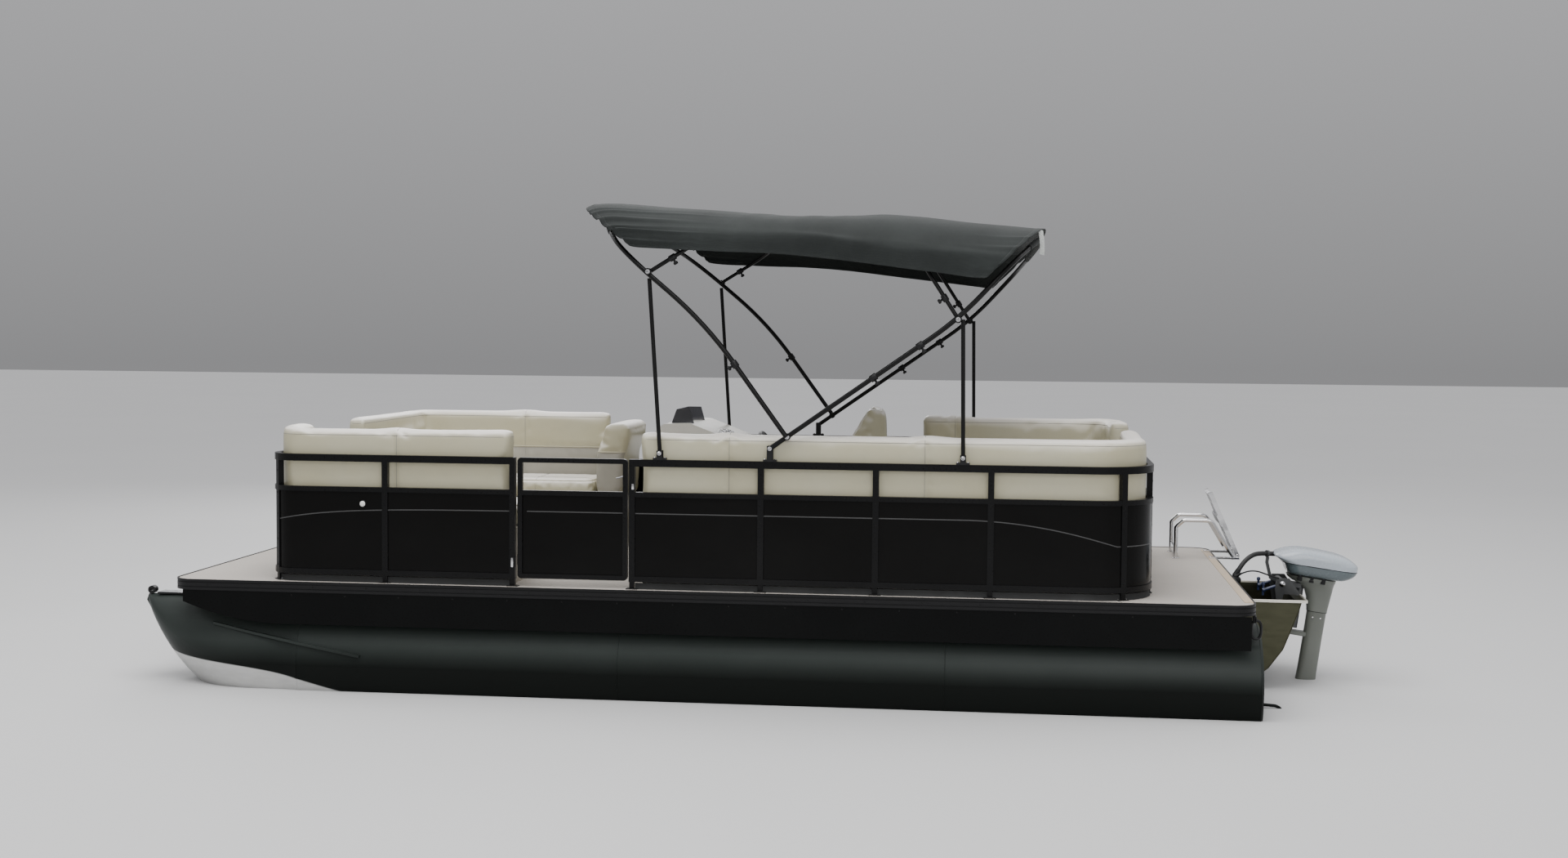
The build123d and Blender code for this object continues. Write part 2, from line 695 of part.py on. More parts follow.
# Helm chair: pedestal and a barrel seat that swivels on it
chair_x = -620
chair_inset = 595
chair_y = chair_inset - half_beam
chair_seat_height = 483
chair_outer = 250
chair_wall = 65
chair_back_height = 906
chair_arm_height = 690
pedestal_foot_radius = 150
pedestal_foot_height = 16
pedestal_radius = 38
swivel_plate_radius = 70
swivel_plate_top = 352
swivel_gap = 1
chair_shell_bottom = 400
with BuildPart() as chair_pedestal:
    with BuildSketch(Plane.XY.offset(deck_top + 1)):
        with Locations((chair_x, chair_y)):
            Circle(pedestal_foot_radius)
    extrude(amount=pedestal_foot_height)
    with BuildSketch(Plane.XY.offset(deck_top + 10)):
        with Locations((chair_x, chair_y)):
            Circle(pedestal_radius)
    extrude(amount=swivel_plate_top - 12)
    with BuildSketch(Plane.XY.offset(deck_top + swivel_plate_top)):
        with Locations((chair_x, chair_y)):
            Circle(swivel_plate_radius)
    extrude(amount=-14)
save(chair_pedestal, "chair_pedestal")

with BuildPart() as helm_chair:
    with BuildSketch(Plane.XY.offset(deck_top + swivel_plate_top + swivel_gap)):
        with Locations((chair_x, chair_y)):
            Circle(chair_outer - 6)
    extrude(amount=chair_seat_height - swivel_plate_top - swivel_gap)
    with BuildSketch(Plane.XY.offset(deck_top + chair_shell_bottom)):
        with Locations((chair_x, chair_y)):
            Circle(chair_outer)
            Circle(chair_outer - chair_wall, mode=Mode.SUBTRACT)
        with Locations((chair_x + chair_outer - 60, chair_y)):
            Rectangle(200, 2 * chair_outer + 100, mode=Mode.SUBTRACT)
    extrude(amount=chair_back_height - chair_shell_bottom)
    # The top slopes from the back down to the arms
    with BuildSketch(Plane.XZ.offset(-chair_y - chair_outer - 50)):
        with BuildLine():
            Polyline(
                (chair_x + 300, deck_top + chair_arm_height),
                (chair_x - 20, deck_top + chair_arm_height),
                (chair_x - 150, deck_top + chair_back_height),
                (chair_x - 150, deck_top + chair_back_height + 50),
                (chair_x + 300, deck_top + chair_back_height + 50), close=True,
            )
        make_face()
    extrude(amount=2 * chair_outer + 100, mode=Mode.SUBTRACT)
save(helm_chair, "helm_chair")

# Folding top. Side views are in x and z; each bow is one bent tube from foot to foot
top_tube = 26
inner_tube = 22
strut_tube = 22
main_half_width = fence_y
front_half_width = fence_y + 33
inner_front_half_width = fence_y + 1
inner_rear_half_width = fence_y - 34
rail_z = deck_top + top_rail_top
rear_pivot = (-386, 1359)
front_pivot = (-476, 1422)
front_bend = (-44, 2014)
front_knuckle = (265, 2284)
front_crown = (676, 2618)
rear_knuckle = (-1366, 2045)
rear_crown = (-1800, 2510)
second_crown = (-250, 2600)
third_crown = (-1006, 2600)
front_strut_foot = (204, 1325)
rear_strut_foot = (-1400, 1325)
knuckle_radius = 19
strut_gap = 34


def between(start, end, share):
    """The point at this share of the way between two points of the side view."""
    return tuple(a + (b - a) * share for a, b in zip(start, end))


def bow_points(legs, crown, half_width):
    """Route of a bow: up the port leg, over the crown and down the starboard leg."""
    foot = legs[-1]
    # Shares of the way from the leg's top to the crown, with the shares of the half width
    arch = [(0.62, 1.0), (0.87, 0.64), (1.0, 0.22)]
    port = [(x, half_width, z) for x, z in legs]
    for rise, spread in arch:
        x, z = between(foot, crown, rise)
        port.append((x, half_width * spread, z))
    return port + [(x, -y, z) for x, y, z in reversed(port)]


def tidy(points):
    """The same route without points that lie in line with their neighbours."""
    kept = [points[0]]
    for before, here, after in zip(points, points[1:], points[2:]):
        arriving = Vector(*here) - Vector(*before)
        leaving = Vector(*after) - Vector(*here)
        if arriving.get_angle(leaving) > 0.5:
            kept.append(here)
    return kept + [points[-1]]


def knuckle(point, half_width, reach):
    """A pair of slides around a bow's legs, with their pins."""
    with BuildPart() as pair:
        for side in (1, -1):
            with Locations(Location((point[0], side * half_width, point[1]), (90, 0, 0))):
                Cylinder(knuckle_radius, reach)
    return pair.part


with BuildPart() as bimini_rear_bow:
    add(tube(tidy(bow_points([rear_pivot, rear_knuckle], rear_crown, main_half_width)), top_tube))
    add(knuckle(front_pivot, main_half_width - 2, 34))
    add(knuckle(rear_knuckle, main_half_width, 34))
    # Rear struts, pinned between the rail and the rear bow
    for side in (1, -1):
        low = (rear_strut_foot[0], side * main_half_width, rear_strut_foot[1])
        top = (rear_knuckle[0] - 25, side * main_half_width, rear_knuckle[1])
        add(tube([low, top], strut_tube))
save(bimini_rear_bow, "bimini_rear_bow")

with BuildPart() as bimini_front_bow:
    add(tube(tidy(bow_points([front_pivot, front_bend], front_crown, front_half_width)), top_tube))
    add(knuckle(front_knuckle, front_half_width, 32))
save(bimini_front_bow, "bimini_front_bow")

with BuildPart() as bimini_second_bow:
    add(tube(tidy(bow_points([front_knuckle], second_crown, inner_front_half_width)), inner_tube))
save(bimini_second_bow, "bimini_second_bow")

with BuildPart() as bimini_third_bow:
    add(tube(tidy(bow_points([rear_knuckle], third_crown, inner_rear_half_width)), inner_tube))
save(bimini_third_bow, "bimini_third_bow")

strut_top = (265, front_knuckle[1] - strut_gap)
with BuildPart() as bimini_front_struts:
    for side in (1, -1):
        low = (front_strut_foot[0], side * main_half_width, front_strut_foot[1])
        top = (strut_top[0], side * main_half_width, strut_top[1])
        add(tube([low, top], strut_tube))
save(bimini_front_struts, "bimini_front_struts")

bracket_length = 70
bracket_foot_height = 10
bracket_plate = 6
bracket_plate_width = 30
bracket_plate_y = 19.5
with BuildPart() as bimini_brackets:
    for side in (1, -1):
        for x, z in (rear_pivot, front_strut_foot, rear_strut_foot):
            with Locations((x, side * fence_y, rail_z + bracket_foot_height / 2)):
                Box(bracket_length, fence_tube_width + 8, bracket_foot_height)
            for face in (-1, 1):
                with Locations((x, side * fence_y + face * bracket_plate_y, (rail_z + z + 14) / 2)):
                    Box(bracket_plate_width, bracket_plate, z + 14 - rail_z)
save(bimini_brackets, "bimini_brackets")

# Canopy: a sheet over the bows, lofted between arches that lie outside each bow
canopy_thickness = 8
# Arches: lower edge (x, z), crown (x, z)
canopy_arches = [
    ((362, 2420), (700, 2668)),
    ((30, 2440), (-250, 2632)),
    ((-500, 2425), (-600, 2618)),
    ((-1215, 2330), (-1006, 2632)),
    ((-1512, 2262), (-1825, 2556)),
]
canopy_half_width = front_half_width + top_tube / 2 + canopy_thickness + 5


def canopy_face(foot, crown):
    """Closed outline of one arch of the canopy as a face."""
    # Shares of the rise and of the half width
    arch = [(0.0, 1.0), (0.4, 0.995), (0.8, 0.86), (0.95, 0.5)]
    run = Vector(crown[0] - foot[0], 0, crown[1] - foot[1])
    up = run.normalized()
    plane = Plane(origin=(foot[0], 0, foot[1]), x_dir=(0, 1, 0), z_dir=Vector(0, 1, 0).cross(up))
    rise_length = run.length
    outer = [(canopy_half_width * spread, rise_length * rise) for rise, spread in arch]
    inner = [(y - canopy_thickness, z - canopy_thickness * rise)
             for (y, z), (rise, spread) in zip(outer, arch)]
    with BuildSketch(plane) as arch_sketch:
        with BuildLine():
            for side_points, drop in ((outer, 0), (inner, canopy_thickness)):
                route = side_points + [(0, rise_length - drop)]
                route += [(-y, z) for y, z in reversed(side_points)]
                FilletPolyline(*route, radius=bend_radii([(y, z, 0) for y, z in route]))
            Line(outer[0], inner[0])
            Line((-outer[0][0], outer[0][1]), (-inner[0][0], inner[0][1]))
        make_face()
    return arch_sketch.sketch.faces()[0]


with BuildPart() as bimini_canopy:
    loft(sections=[canopy_face(foot, crown) for foot, crown in canopy_arches], ruled=True)
save(bimini_canopy, "bimini_canopy")

# Outboard motor, built upright in its own plane and trimmed in by a few degrees
tilt_x = transom_top_x + 72
tilt_z = 560
trim = 7.8
motor = Plane(origin=(tilt_x, 0, tilt_z), x_dir=(cos(radians(trim)), 0, sin(radians(trim))),
              z_dir=(-sin(radians(trim)), 0, cos(radians(trim))))
steer_x = -118
leg_x = -215
prop_height = -900
prop_radius = 125


pin_radius = 13
pin_length = 236
pin_clearance = 0.2
tilt_tube_radius = 24
tilt_tube_length = 180
swivel_radius = 22
swivel_reach = (-250, 12)
swivel_arm_width = 90
swivel_arm_depth = 26
hose_clip_arm = 14
hose_clip_wall = 6
hose_clip_width = 14
hose_diameter = 27
hose_clip = (tilt_x + 72, 4, 719)
boot_y = 100
boot_offset = 20
hose_exit = (stern_edge - boot_offset, boot_y, deck_top + 9)
hose_route = [hose_exit, (tilt_x + 230, 91, 656), (tilt_x + 184, 68, 703), (tilt_x + 130, 32, 724),
              hose_clip]
hose_end_run = (Vector(*hose_clip) - Vector(*hose_route[-2])).normalized()
cable_diameter = 9
cable_y = 160
cable_route = [(stern_edge - boot_offset, boot_y + 36, deck_top + 6), (stern_edge - 60, 152, deck_top + 34),
               (stern_edge - 125, cable_y, deck_top + 44), (tilt_x + 82, cable_y, 613),
               (tilt_x + 20, 122, 592)]


def motor_point(x, y, z):
    """Row position of a point given in the motor's own plane."""
    return motor.from_local_coords(Vector(x, y, z))


clamp_y = 105
clamp_width = 16
# Clamp bracket outline seen from the side: distance from the tilt pin, height
clamp_outline = [(30, 590), (-42, 590), (-104, 500), (-84, 400), (-40, 300), (-14, 312), (-52, 411),
                 (-76, pod_top), (-10, pod_top), (6, 430), (24, 430), (40, 530)]
with BuildPart() as motor_clamp_bracket:
    for side in (1, -1):
        with BuildSketch(Plane.XZ.offset(-side * clamp_y - clamp_width / 2)):
            Polygon(*[(tilt_x + along, z) for along, z in clamp_outline], align=None)
        extrude(amount=clamp_width)
    with Locations(Location((tilt_x, 0, tilt_z), (90, 0, 0))):
        Cylinder(pin_radius, pin_length)
save(motor_clamp_bracket, "motor_clamp_bracket")

with BuildPart() as motor_swivel_bracket:
    with Locations(Location((tilt_x, 0, tilt_z), (90, 0, 0))):
        Cylinder(tilt_tube_radius, tilt_tube_length)
    with BuildSketch(motor.offset(swivel_reach[0])):
        with Locations((steer_x, 0)):
            Circle(swivel_radius)
    extrude(amount=swivel_reach[1] - swivel_reach[0])
    with BuildSketch(motor.offset(-16)):
        with Locations((steer_x / 2, 0)):
            Rectangle(-steer_x, swivel_arm_width)
    extrude(amount=swivel_arm_depth)
    # Arm and clip that hold the rigging hose ahead of the cowl
    with BuildSketch(Plane(origin=motor_point(0, hose_clip_arm / 2, 0), x_dir=motor.x_dir,
                           z_dir=(0, -1, 0))):
        Polygon((0, -10), (60, 6), (96, 96), (96, 128), (78, 128), (78, 100), (48, 22), (0, 10),
                align=None)
    extrude(amount=hose_clip_arm)
    with BuildSketch(Plane(origin=hose_clip, z_dir=hose_end_run)):
        Circle(hose_diameter / 2 + hose_clip_wall)
    extrude(amount=hose_clip_width / 2, both=True)
    with BuildSketch(Plane(origin=hose_clip, z_dir=hose_end_run)):
        Circle(hose_diameter / 2 + 0.5)
    extrude(amount=2 * hose_clip_width, both=True, mode=Mode.SUBTRACT)
    with Locations(Location((tilt_x, 0, tilt_z), (90, 0, 0))):
        Cylinder(pin_radius + pin_clearance, tilt_tube_length + 10, mode=Mode.SUBTRACT)
save(motor_swivel_bracket, "motor_swivel_bracket")

# Pan and leg sections from the top down: height, front x, aft x, width
pan_sections = [
    (56, -30, -310, 220),
    (26, -56, -302, 180),
]
leg_sections = [
    (27, -145, -292, 130),
    (-60, -145, -288, 110),
    (-400, -143, -286, 92),
    (-750, -132, -300, 74),
    (-850, -120, -300, 60),
]
splash_plate_height = -756
splash_plate_x = -270
splash_plate_length = 330
splash_plate_width = 210
splash_plate_thickness = 7
gear_case_x = -60
# Gear case sections: distance aft of its nose, radius
gear_case_sections = [(0, 6), (60, 38), (150, 50), (300, 40), (335, 34)]
# Skeg seen from the side: x, depth below the propeller's axis
skeg_outline = [(-150, 20), (-310, 20), (-330, 150), (-250, 160)]
skeg_thickness = 10
yoke_heights = (24, -290)
yoke_width = 66
yoke_depth = 26
with BuildPart() as motor_leg:
    for sections in (pan_sections, leg_sections):
        for height, front, aft, width in sections:
            with BuildSketch(motor.offset(height)):
                with Locations(((front + aft) / 2, 0)):
                    RectangleRounded(front - aft, width, width * 0.42)
        loft(ruled=True)
    with BuildSketch(motor.offset(splash_plate_height)):
        with Locations((splash_plate_x, 0)):
            RectangleRounded(splash_plate_length, splash_plate_width, 60)
    extrude(amount=splash_plate_thickness)
    gear_plane = Plane(origin=motor_point(gear_case_x, 0, prop_height), x_dir=motor.z_dir,
                       z_dir=Vector(0, 0, 0) - motor.x_dir)
    for distance, radius in gear_case_sections:
        with BuildSketch(gear_plane.offset(distance)):
            Circle(radius)
    loft()
    with BuildSketch(Plane(origin=motor_point(0, skeg_thickness / 2, 0), x_dir=motor.x_dir,
                           z_dir=(0, -1, 0))):
        Polygon(*[(x, prop_height - below) for x, below in skeg_outline], align=None)
    extrude(amount=skeg_thickness)
    # Yoke that carries the leg on the steering axis
    for height in yoke_heights:
        with BuildSketch(motor.offset(height)):
            with Locations(((steer_x + leg_x) / 2 + 10, 0)):
                RectangleRounded(-leg_x + steer_x + 60, yoke_width, 30)
        extrude(amount=yoke_depth)
save(motor_leg, "motor_leg")

# Cowl outline seen from the side, in the motor's own plane
cowl_outline = [(-2, 118), (66, 152), (-92, 222), (-300, 168), (-386, 100), (-309, 56), (-40, 60)]
cowl_rounds = [30, 30, 120, 160, 26, 30, 20]
# Cowl sections across the beam: y, size
cowl_sections = [(-142, 0.72), (-108, 0.93), (0, 1.0), (108, 0.93), (142, 0.72)]


def cowl_solid(shrink):
    """Cowl form between its side sections, drawn in by this share."""
    with BuildPart() as form:
        for y, size in cowl_sections:
            size = size - shrink
            centre = (-155, 132)
            points = [(centre[0] + (x - centre[0]) * size, centre[1] + (z - centre[1]) * size)
                      for x, z in cowl_outline]
            with BuildSketch(Plane(origin=motor_point(0, y * (1 - shrink), 0), x_dir=motor.x_dir,
                                   z_dir=(0, -1, 0))):
                with BuildLine():
                    FilletPolyline(*points, radius=[r * size * 0.8 for r in cowl_rounds], close=True)
                make_face()
        loft()
    return form.part


with BuildPart() as motor_cowl:
    add(cowl_solid(0))
    add(cowl_solid(0.06), mode=Mode.SUBTRACT)
save(motor_cowl, "motor_cowl")

engine_length = 210
engine_width = 150
engine_height = 84
engine_x = -160
engine_bottom = 78
with BuildPart() as motor_engine_block:
    with BuildSketch(motor.offset(engine_bottom)):
        with Locations((engine_x, 0)):
            RectangleRounded(engine_length, engine_width, 20)
    extrude(amount=engine_height)
save(motor_engine_block, "motor_engine_block")

prop_x = gear_case_x - gear_case_sections[-1][0] - 13
prop_plane = Plane(origin=motor_point(prop_x, 0, prop_height), x_dir=motor.z_dir,
                   z_dir=Vector(0, 0, 0) - motor.x_dir)
prop_hub_radius = 32
prop_hub_length = 84
blade_count = 3
blade_pitch = radians(36)
# Blade sections: distance from the axis, half chord, half thickness
blade_sections = [(prop_hub_radius - 10, 32, 4), (70, 52, 3.5), (prop_radius, 26, 2)]
with BuildPart() as propeller:
    with BuildSketch(prop_plane):
        Circle(prop_hub_radius)
    extrude(amount=prop_hub_length, taper=6)
    for index in range(blade_count):
        around = radians(360 / blade_count * index)
        radial = prop_plane.x_dir * cos(around) + prop_plane.y_dir * sin(around)
        tangent = prop_plane.y_dir * cos(around) - prop_plane.x_dir * sin(around)
        chord = tangent * cos(blade_pitch) + prop_plane.z_dir * sin(blade_pitch)
        root = prop_plane.origin + prop_plane.z_dir * (prop_hub_length / 2)
        for distance, half_chord, half_thickness in blade_sections:
            with BuildSketch(Plane(origin=root + radial * distance, x_dir=chord, z_dir=radial)):
                Ellipse(half_chord, half_thickness)
        loft()
save(propeller, "propeller")

# Boarding ladder and its hand hoops, starboard aft
ladder_inset = 245
ladder_spacing = 350
ladder_y = (ladder_inset + ladder_spacing - half_beam, ladder_inset - half_beam)
ladder_hinge = (stern_edge - 122.5, deck_top + 20)
ladder_lean = 66.5
ladder_length = 420
ladder_tube = 26
# Hand hoop: distance forward of the deck's aft edge, height above the deck
handrail_route = [(253.5, 0), (253.5, 195), (207.5, 237), (42.5, 237), (-99.5, 5)]
with BuildPart() as ladder_handrails:
    for y in ladder_y:
        add(tube([(stern_edge + along, y, deck_top + height) for along, height in handrail_route],
                 ladder_tube, [30, 30, 45]))
        box_between((stern_edge - 129.5, stern_edge + 52.5), (y - 22, y + 22),
                    (deck_top + 3, deck_top + 13))
    for along in (handrail_route[0][0], -74.5):
        box_between((stern_edge + along - 7, stern_edge + along + 7), sorted(ladder_y),
                    (deck_top + 27, deck_top + 67))
save(ladder_handrails, "ladder_handrails")

lean_dir = (cos(radians(ladder_lean)), sin(radians(ladder_lean)))
ladder_middle = sum(ladder_y) / 2
ladder_plane = Plane(origin=(ladder_hinge[0], ladder_middle, ladder_hinge[1]), x_dir=(0, 1, 0),
                     z_dir=(lean_dir[1], 0, -lean_dir[0]))
upper_width = 266
lower_width = 206
rail_width = 30
rail_thick = 24
lower_length = 370


def ladder_box(y_range, along, depth):
    """Add a block in the ladder's own plane to the part in hand."""
    with BuildPart(mode=Mode.PRIVATE) as block:
        with BuildSketch(ladder_plane.offset(depth[0])):
            with Locations((sum(y_range) / 2, sum(along) / 2)):
                Rectangle(y_range[1] - y_range[0], along[1] - along[0])
        extrude(amount=depth[1] - depth[0])
    add(block.part)


with BuildPart() as ladder_upper:
    for side in (1, -1):
        ladder_box(sorted((side * (upper_width - rail_width) / 2, side * (upper_width + rail_width) / 2)),
                   (0, ladder_length), (-rail_thick / 2, rail_thick / 2))
    ladder_box((-upper_width / 2 - 15, upper_width / 2 + 15), (215, 275),
               (rail_thick / 2, rail_thick / 2 + 10))
    with Locations(Location((ladder_hinge[0], ladder_middle, ladder_hinge[1]), (90, 0, 0))):
        Cylinder(13, upper_width + rail_width)
save(ladder_upper, "ladder_upper")

with BuildPart() as ladder_lower:
    for side in (1, -1):
        ladder_box(sorted((side * (lower_width / 2 - 12), side * (lower_width / 2 + 12))),
                   (36, 36 + lower_length), (-10, 10))
    for start in (130, 346):
        ladder_box((-lower_width / 2, lower_width / 2), (start, start + 60), (-10, 10))
save(ladder_lower, "ladder_lower")

# Rigging hose from its boot on the deck edge to its clip, its short end into the cowl, and a cable
with BuildPart() as rigging_hose:
    add(tube(hose_route, hose_diameter))
save(rigging_hose, "rigging_hose")

hose_entry = tuple(Vector(*hose_clip) + hose_end_run * 60)
with BuildPart() as rigging_hose_end:
    add(tube([hose_clip, hose_entry], hose_diameter))
    add(cowl_solid(0), mode=Mode.SUBTRACT)
    add(cowl_solid(0.06), mode=Mode.SUBTRACT)
save(rigging_hose_end, "rigging_hose_end")

with BuildPart() as control_cable:
    add(tube(cable_route, cable_diameter))
save(control_cable, "control_cable")
for name, route in (("hose", hose_route), ("cable", cable_route)):
    length = sum((Vector(*b) - Vector(*a)).length for a, b in zip(route, route[1:]))
    print(name, "run", round(length), "radii", [round(r) for r in bend_radii(route)])

# Small fittings on the hull: side lights, corner hooks and the boot of the hose and cable
light_x = fence_bow_x - 550
light_height = 430
hook_x = stern_edge + 17.5
hook_z = deck_top - trim_height
boot_depth = 44
boot_width = 100
boot_height = 40
with BuildPart() as deck_fittings:
    for side in (1, -1):
        light_plane = Plane(origin=(light_x, side * (fence_y + panel_face), deck_top + light_height),
                            z_dir=(0, side, 0))
        with BuildSketch(light_plane):
            Circle(21)
        extrude(amount=12, taper=20)
        with Locations((hook_x, side * (half_beam - 14), hook_z - 12)):
            Box(14, 8, 24)
        with Locations(Location((hook_x, side * (half_beam - 14), hook_z - 34), (90, 0, 0))):
            Torus(12, 4)
    boot_middle = (stern_edge, boot_y + 13, deck_top - boot_height / 2 + 4)
    with BuildSketch(Plane(origin=boot_middle, x_dir=(0, 1, 0), z_dir=(-1, 0, 0))):
        RectangleRounded(boot_width, boot_height, 10)
    extrude(amount=boot_depth, taper=8)
    for route, diameter in ((hose_route, hose_diameter), (cable_route, cable_diameter)):
        start = Vector(*route[0])
        run = (Vector(*route[1]) - start).normalized()
        with BuildSketch(Plane(origin=start - run * 8, z_dir=run)):
            Circle(diameter / 2 + 5)
        extrude(amount=22)
        with BuildSketch(Plane(origin=start, z_dir=run)):
            Circle(diameter / 2 + 0.4)
        extrude(amount=40, mode=Mode.SUBTRACT)
save(deck_fittings, "deck_fittings")
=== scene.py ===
import json
import math

import bmesh
import bpy
import numpy as np
from mathutils import Matrix, Vector


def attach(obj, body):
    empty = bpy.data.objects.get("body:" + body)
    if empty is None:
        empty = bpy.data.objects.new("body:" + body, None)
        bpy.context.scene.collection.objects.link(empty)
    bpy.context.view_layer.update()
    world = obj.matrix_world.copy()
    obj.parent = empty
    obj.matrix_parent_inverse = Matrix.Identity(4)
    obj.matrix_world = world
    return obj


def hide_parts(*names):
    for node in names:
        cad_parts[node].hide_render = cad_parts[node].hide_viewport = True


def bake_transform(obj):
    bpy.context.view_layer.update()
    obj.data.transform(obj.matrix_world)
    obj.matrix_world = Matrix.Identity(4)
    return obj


# Row frame in metres: +X bow, +Y port, +Z up, waterline at z 0

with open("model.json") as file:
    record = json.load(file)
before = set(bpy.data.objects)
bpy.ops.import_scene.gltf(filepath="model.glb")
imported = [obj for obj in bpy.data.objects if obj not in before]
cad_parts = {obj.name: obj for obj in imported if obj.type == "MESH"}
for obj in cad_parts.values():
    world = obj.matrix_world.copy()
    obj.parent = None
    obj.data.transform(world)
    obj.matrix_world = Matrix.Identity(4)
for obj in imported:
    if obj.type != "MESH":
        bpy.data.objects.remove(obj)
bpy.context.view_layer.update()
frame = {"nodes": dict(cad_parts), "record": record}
nodes = frame["nodes"]
up = Vector((0, 0, 1))
both = (1, -1)
side_names = ((1, "port"), (-1, "starboard"))


def axes(x, y, z, place=(0, 0, 0)):
    """Matrix of a frame at a place, with these axes."""
    return Matrix.Translation(place) @ Matrix((x, y, z)).transposed().to_4x4()


def add_object(name, data):
    """A new object of this data in the scene."""
    obj = bpy.data.objects.new(name, data)
    bpy.context.scene.collection.objects.link(obj)
    return obj


# Camera at the photograph's angle: off the port side, a little above the rails
camera_yaw = math.radians(187.015)
camera_tilt = math.radians(90 - 3.143)
camera_roll = math.radians(0.458)
camera_data = bpy.data.cameras.new("camera")
camera_data.lens = 43.125
camera_data.sensor_width = 36
camera_data.clip_start = 0.1
camera_data.clip_end = 200
camera = add_object("camera", camera_data)
camera.matrix_world = (Matrix.Translation((-1.665, 11.025, 2.005)) @ Matrix.Rotation(camera_yaw, 4, "Z")
                       @ Matrix.Rotation(camera_tilt, 4, "X") @ Matrix.Rotation(camera_roll, 4, "Z"))
bpy.context.scene.camera = camera


# Mesh helpers

def from_bmesh(name, bm, smooth=True):
    """A new object of this bmesh."""
    mesh = bpy.data.meshes.new(name)
    bmesh.ops.recalc_face_normals(bm, faces=bm.faces)
    bm.to_mesh(mesh)
    bm.free()
    if smooth:
        mesh.shade_smooth()
    return add_object(name, mesh)


def evaluated(obj):
    """Mesh of an object with its modifiers applied."""
    graph = bpy.context.evaluated_depsgraph_get()
    return bpy.data.meshes.new_from_object(obj.evaluated_get(graph))


def settle(obj):
    """Apply an object's modifiers to its mesh."""
    mesh = evaluated(obj)
    obj.modifiers.clear()
    obj.data = mesh


def circle(steps, start=0.0):
    """Angles of a full turn."""
    return [2 * math.pi * (k + start) / steps for k in range(steps)]


def squared(value, power):
    """A sine or cosine drawn towards a square's corner."""
    return math.copysign(abs(value) ** power, value)


def round_ring(bm, centre, side, other, radius, steps):
    """Vertices of a circle."""
    return [bm.verts.new(centre + (side * math.cos(a) + other * math.sin(a)) * radius) for a in circle(steps)]


def bridge(bm, rows, closed=True):
    """Faces between rows of as many vertices, or of a single one."""
    count = max(len(row) for row in rows)
    for low, high in zip(rows, rows[1:]):
        for k in range(count if closed else count - 1):
            n = (k + 1) % count
            face = (low[k % len(low)], low[n % len(low)], high[n % len(high)], high[k % len(high)])
            bm.faces.new(list(dict.fromkeys(face)))


def cap(bm, rows):
    """Faces over the first and the last row, where they aren't single points."""
    for row in (rows[0][::-1], rows[-1]):
        if len(row) > 1:
            bm.faces.new(row)


def skin(bm, rings):
    """A closed skin over rings of as many points."""
    rows = [[bm.verts.new(p) for p in ring] for ring in rings]
    bridge(bm, rows)
    cap(bm, rows)


def bevel_box(bm, low, high, bevel=0.002, segments=2, matrix=None):
    """Add a box with rounded edges to a bmesh."""
    verts = bmesh.ops.create_cube(bm, size=1)["verts"]
    for v in verts:
        v.co = Vector([(a + b) / 2 + c * (b - a) for a, b, c in zip(Vector(low), Vector(high), v.co)])
    edges = list({e for v in verts for e in v.link_edges})
    out = bmesh.ops.bevel(bm, geom=edges, offset=bevel, segments=segments, affect="EDGES", profile=0.7)
    verts = list({v for f in out["faces"] for v in f.verts} | {v for v in verts if v.is_valid})
    if matrix is not None:
        bmesh.ops.transform(bm, matrix=matrix, verts=verts)


def lathe(bm, profile, base, axis, steps=24):
    """Add a turned solid to a bmesh: profile of (distance along the axis, radius)."""
    axis = Vector(axis).normalized()
    side = axis.orthogonal().normalized()
    other = axis.cross(side)
    rings = []
    for along, radius in profile:
        centre = Vector(base) + axis * along
        rings.append([bm.verts.new(centre)] if radius < 1e-6
                     else round_ring(bm, centre, side, other, radius, steps))
    bridge(bm, rings)
    cap(bm, rings)


def bead(bm, points, radius, steps=8, closed=False):
    """Add a round bead along a list of points to a bmesh."""
    points = [Vector(p) for p in points]
    count = len(points)
    rings = []
    side = None
    for i, p in enumerate(points):
        if closed:
            run = points[(i + 1) % count] - points[i - 1]
        else:
            run = points[min(i + 1, count - 1)] - points[max(i - 1, 0)]
        run.normalize()
        if side is None:
            side = run.orthogonal()
        side = (side - run * side.dot(run)).normalized()
        rings.append(round_ring(bm, p, side, run.cross(side), radius, steps))
    bridge(bm, rings + rings[:1] if closed else rings)
    if not closed:
        cap(bm, rings)


def heads(bm, places, axis, radius, height, sides=6):
    """Bolt heads, or rivets with more sides, at these places."""
    for place in places:
        lathe(bm, [(-0.001, radius), (height * 0.65, radius), (height, radius * 0.72), (height, 0)], place, axis,
              sides)


# Material helpers

def is_socket(value):
    return isinstance(value, bpy.types.NodeSocket)


def shade(colour, factor, add=0.0):
    """A colour made darker or lighter."""
    return [min(1, c * factor + add) for c in colour]


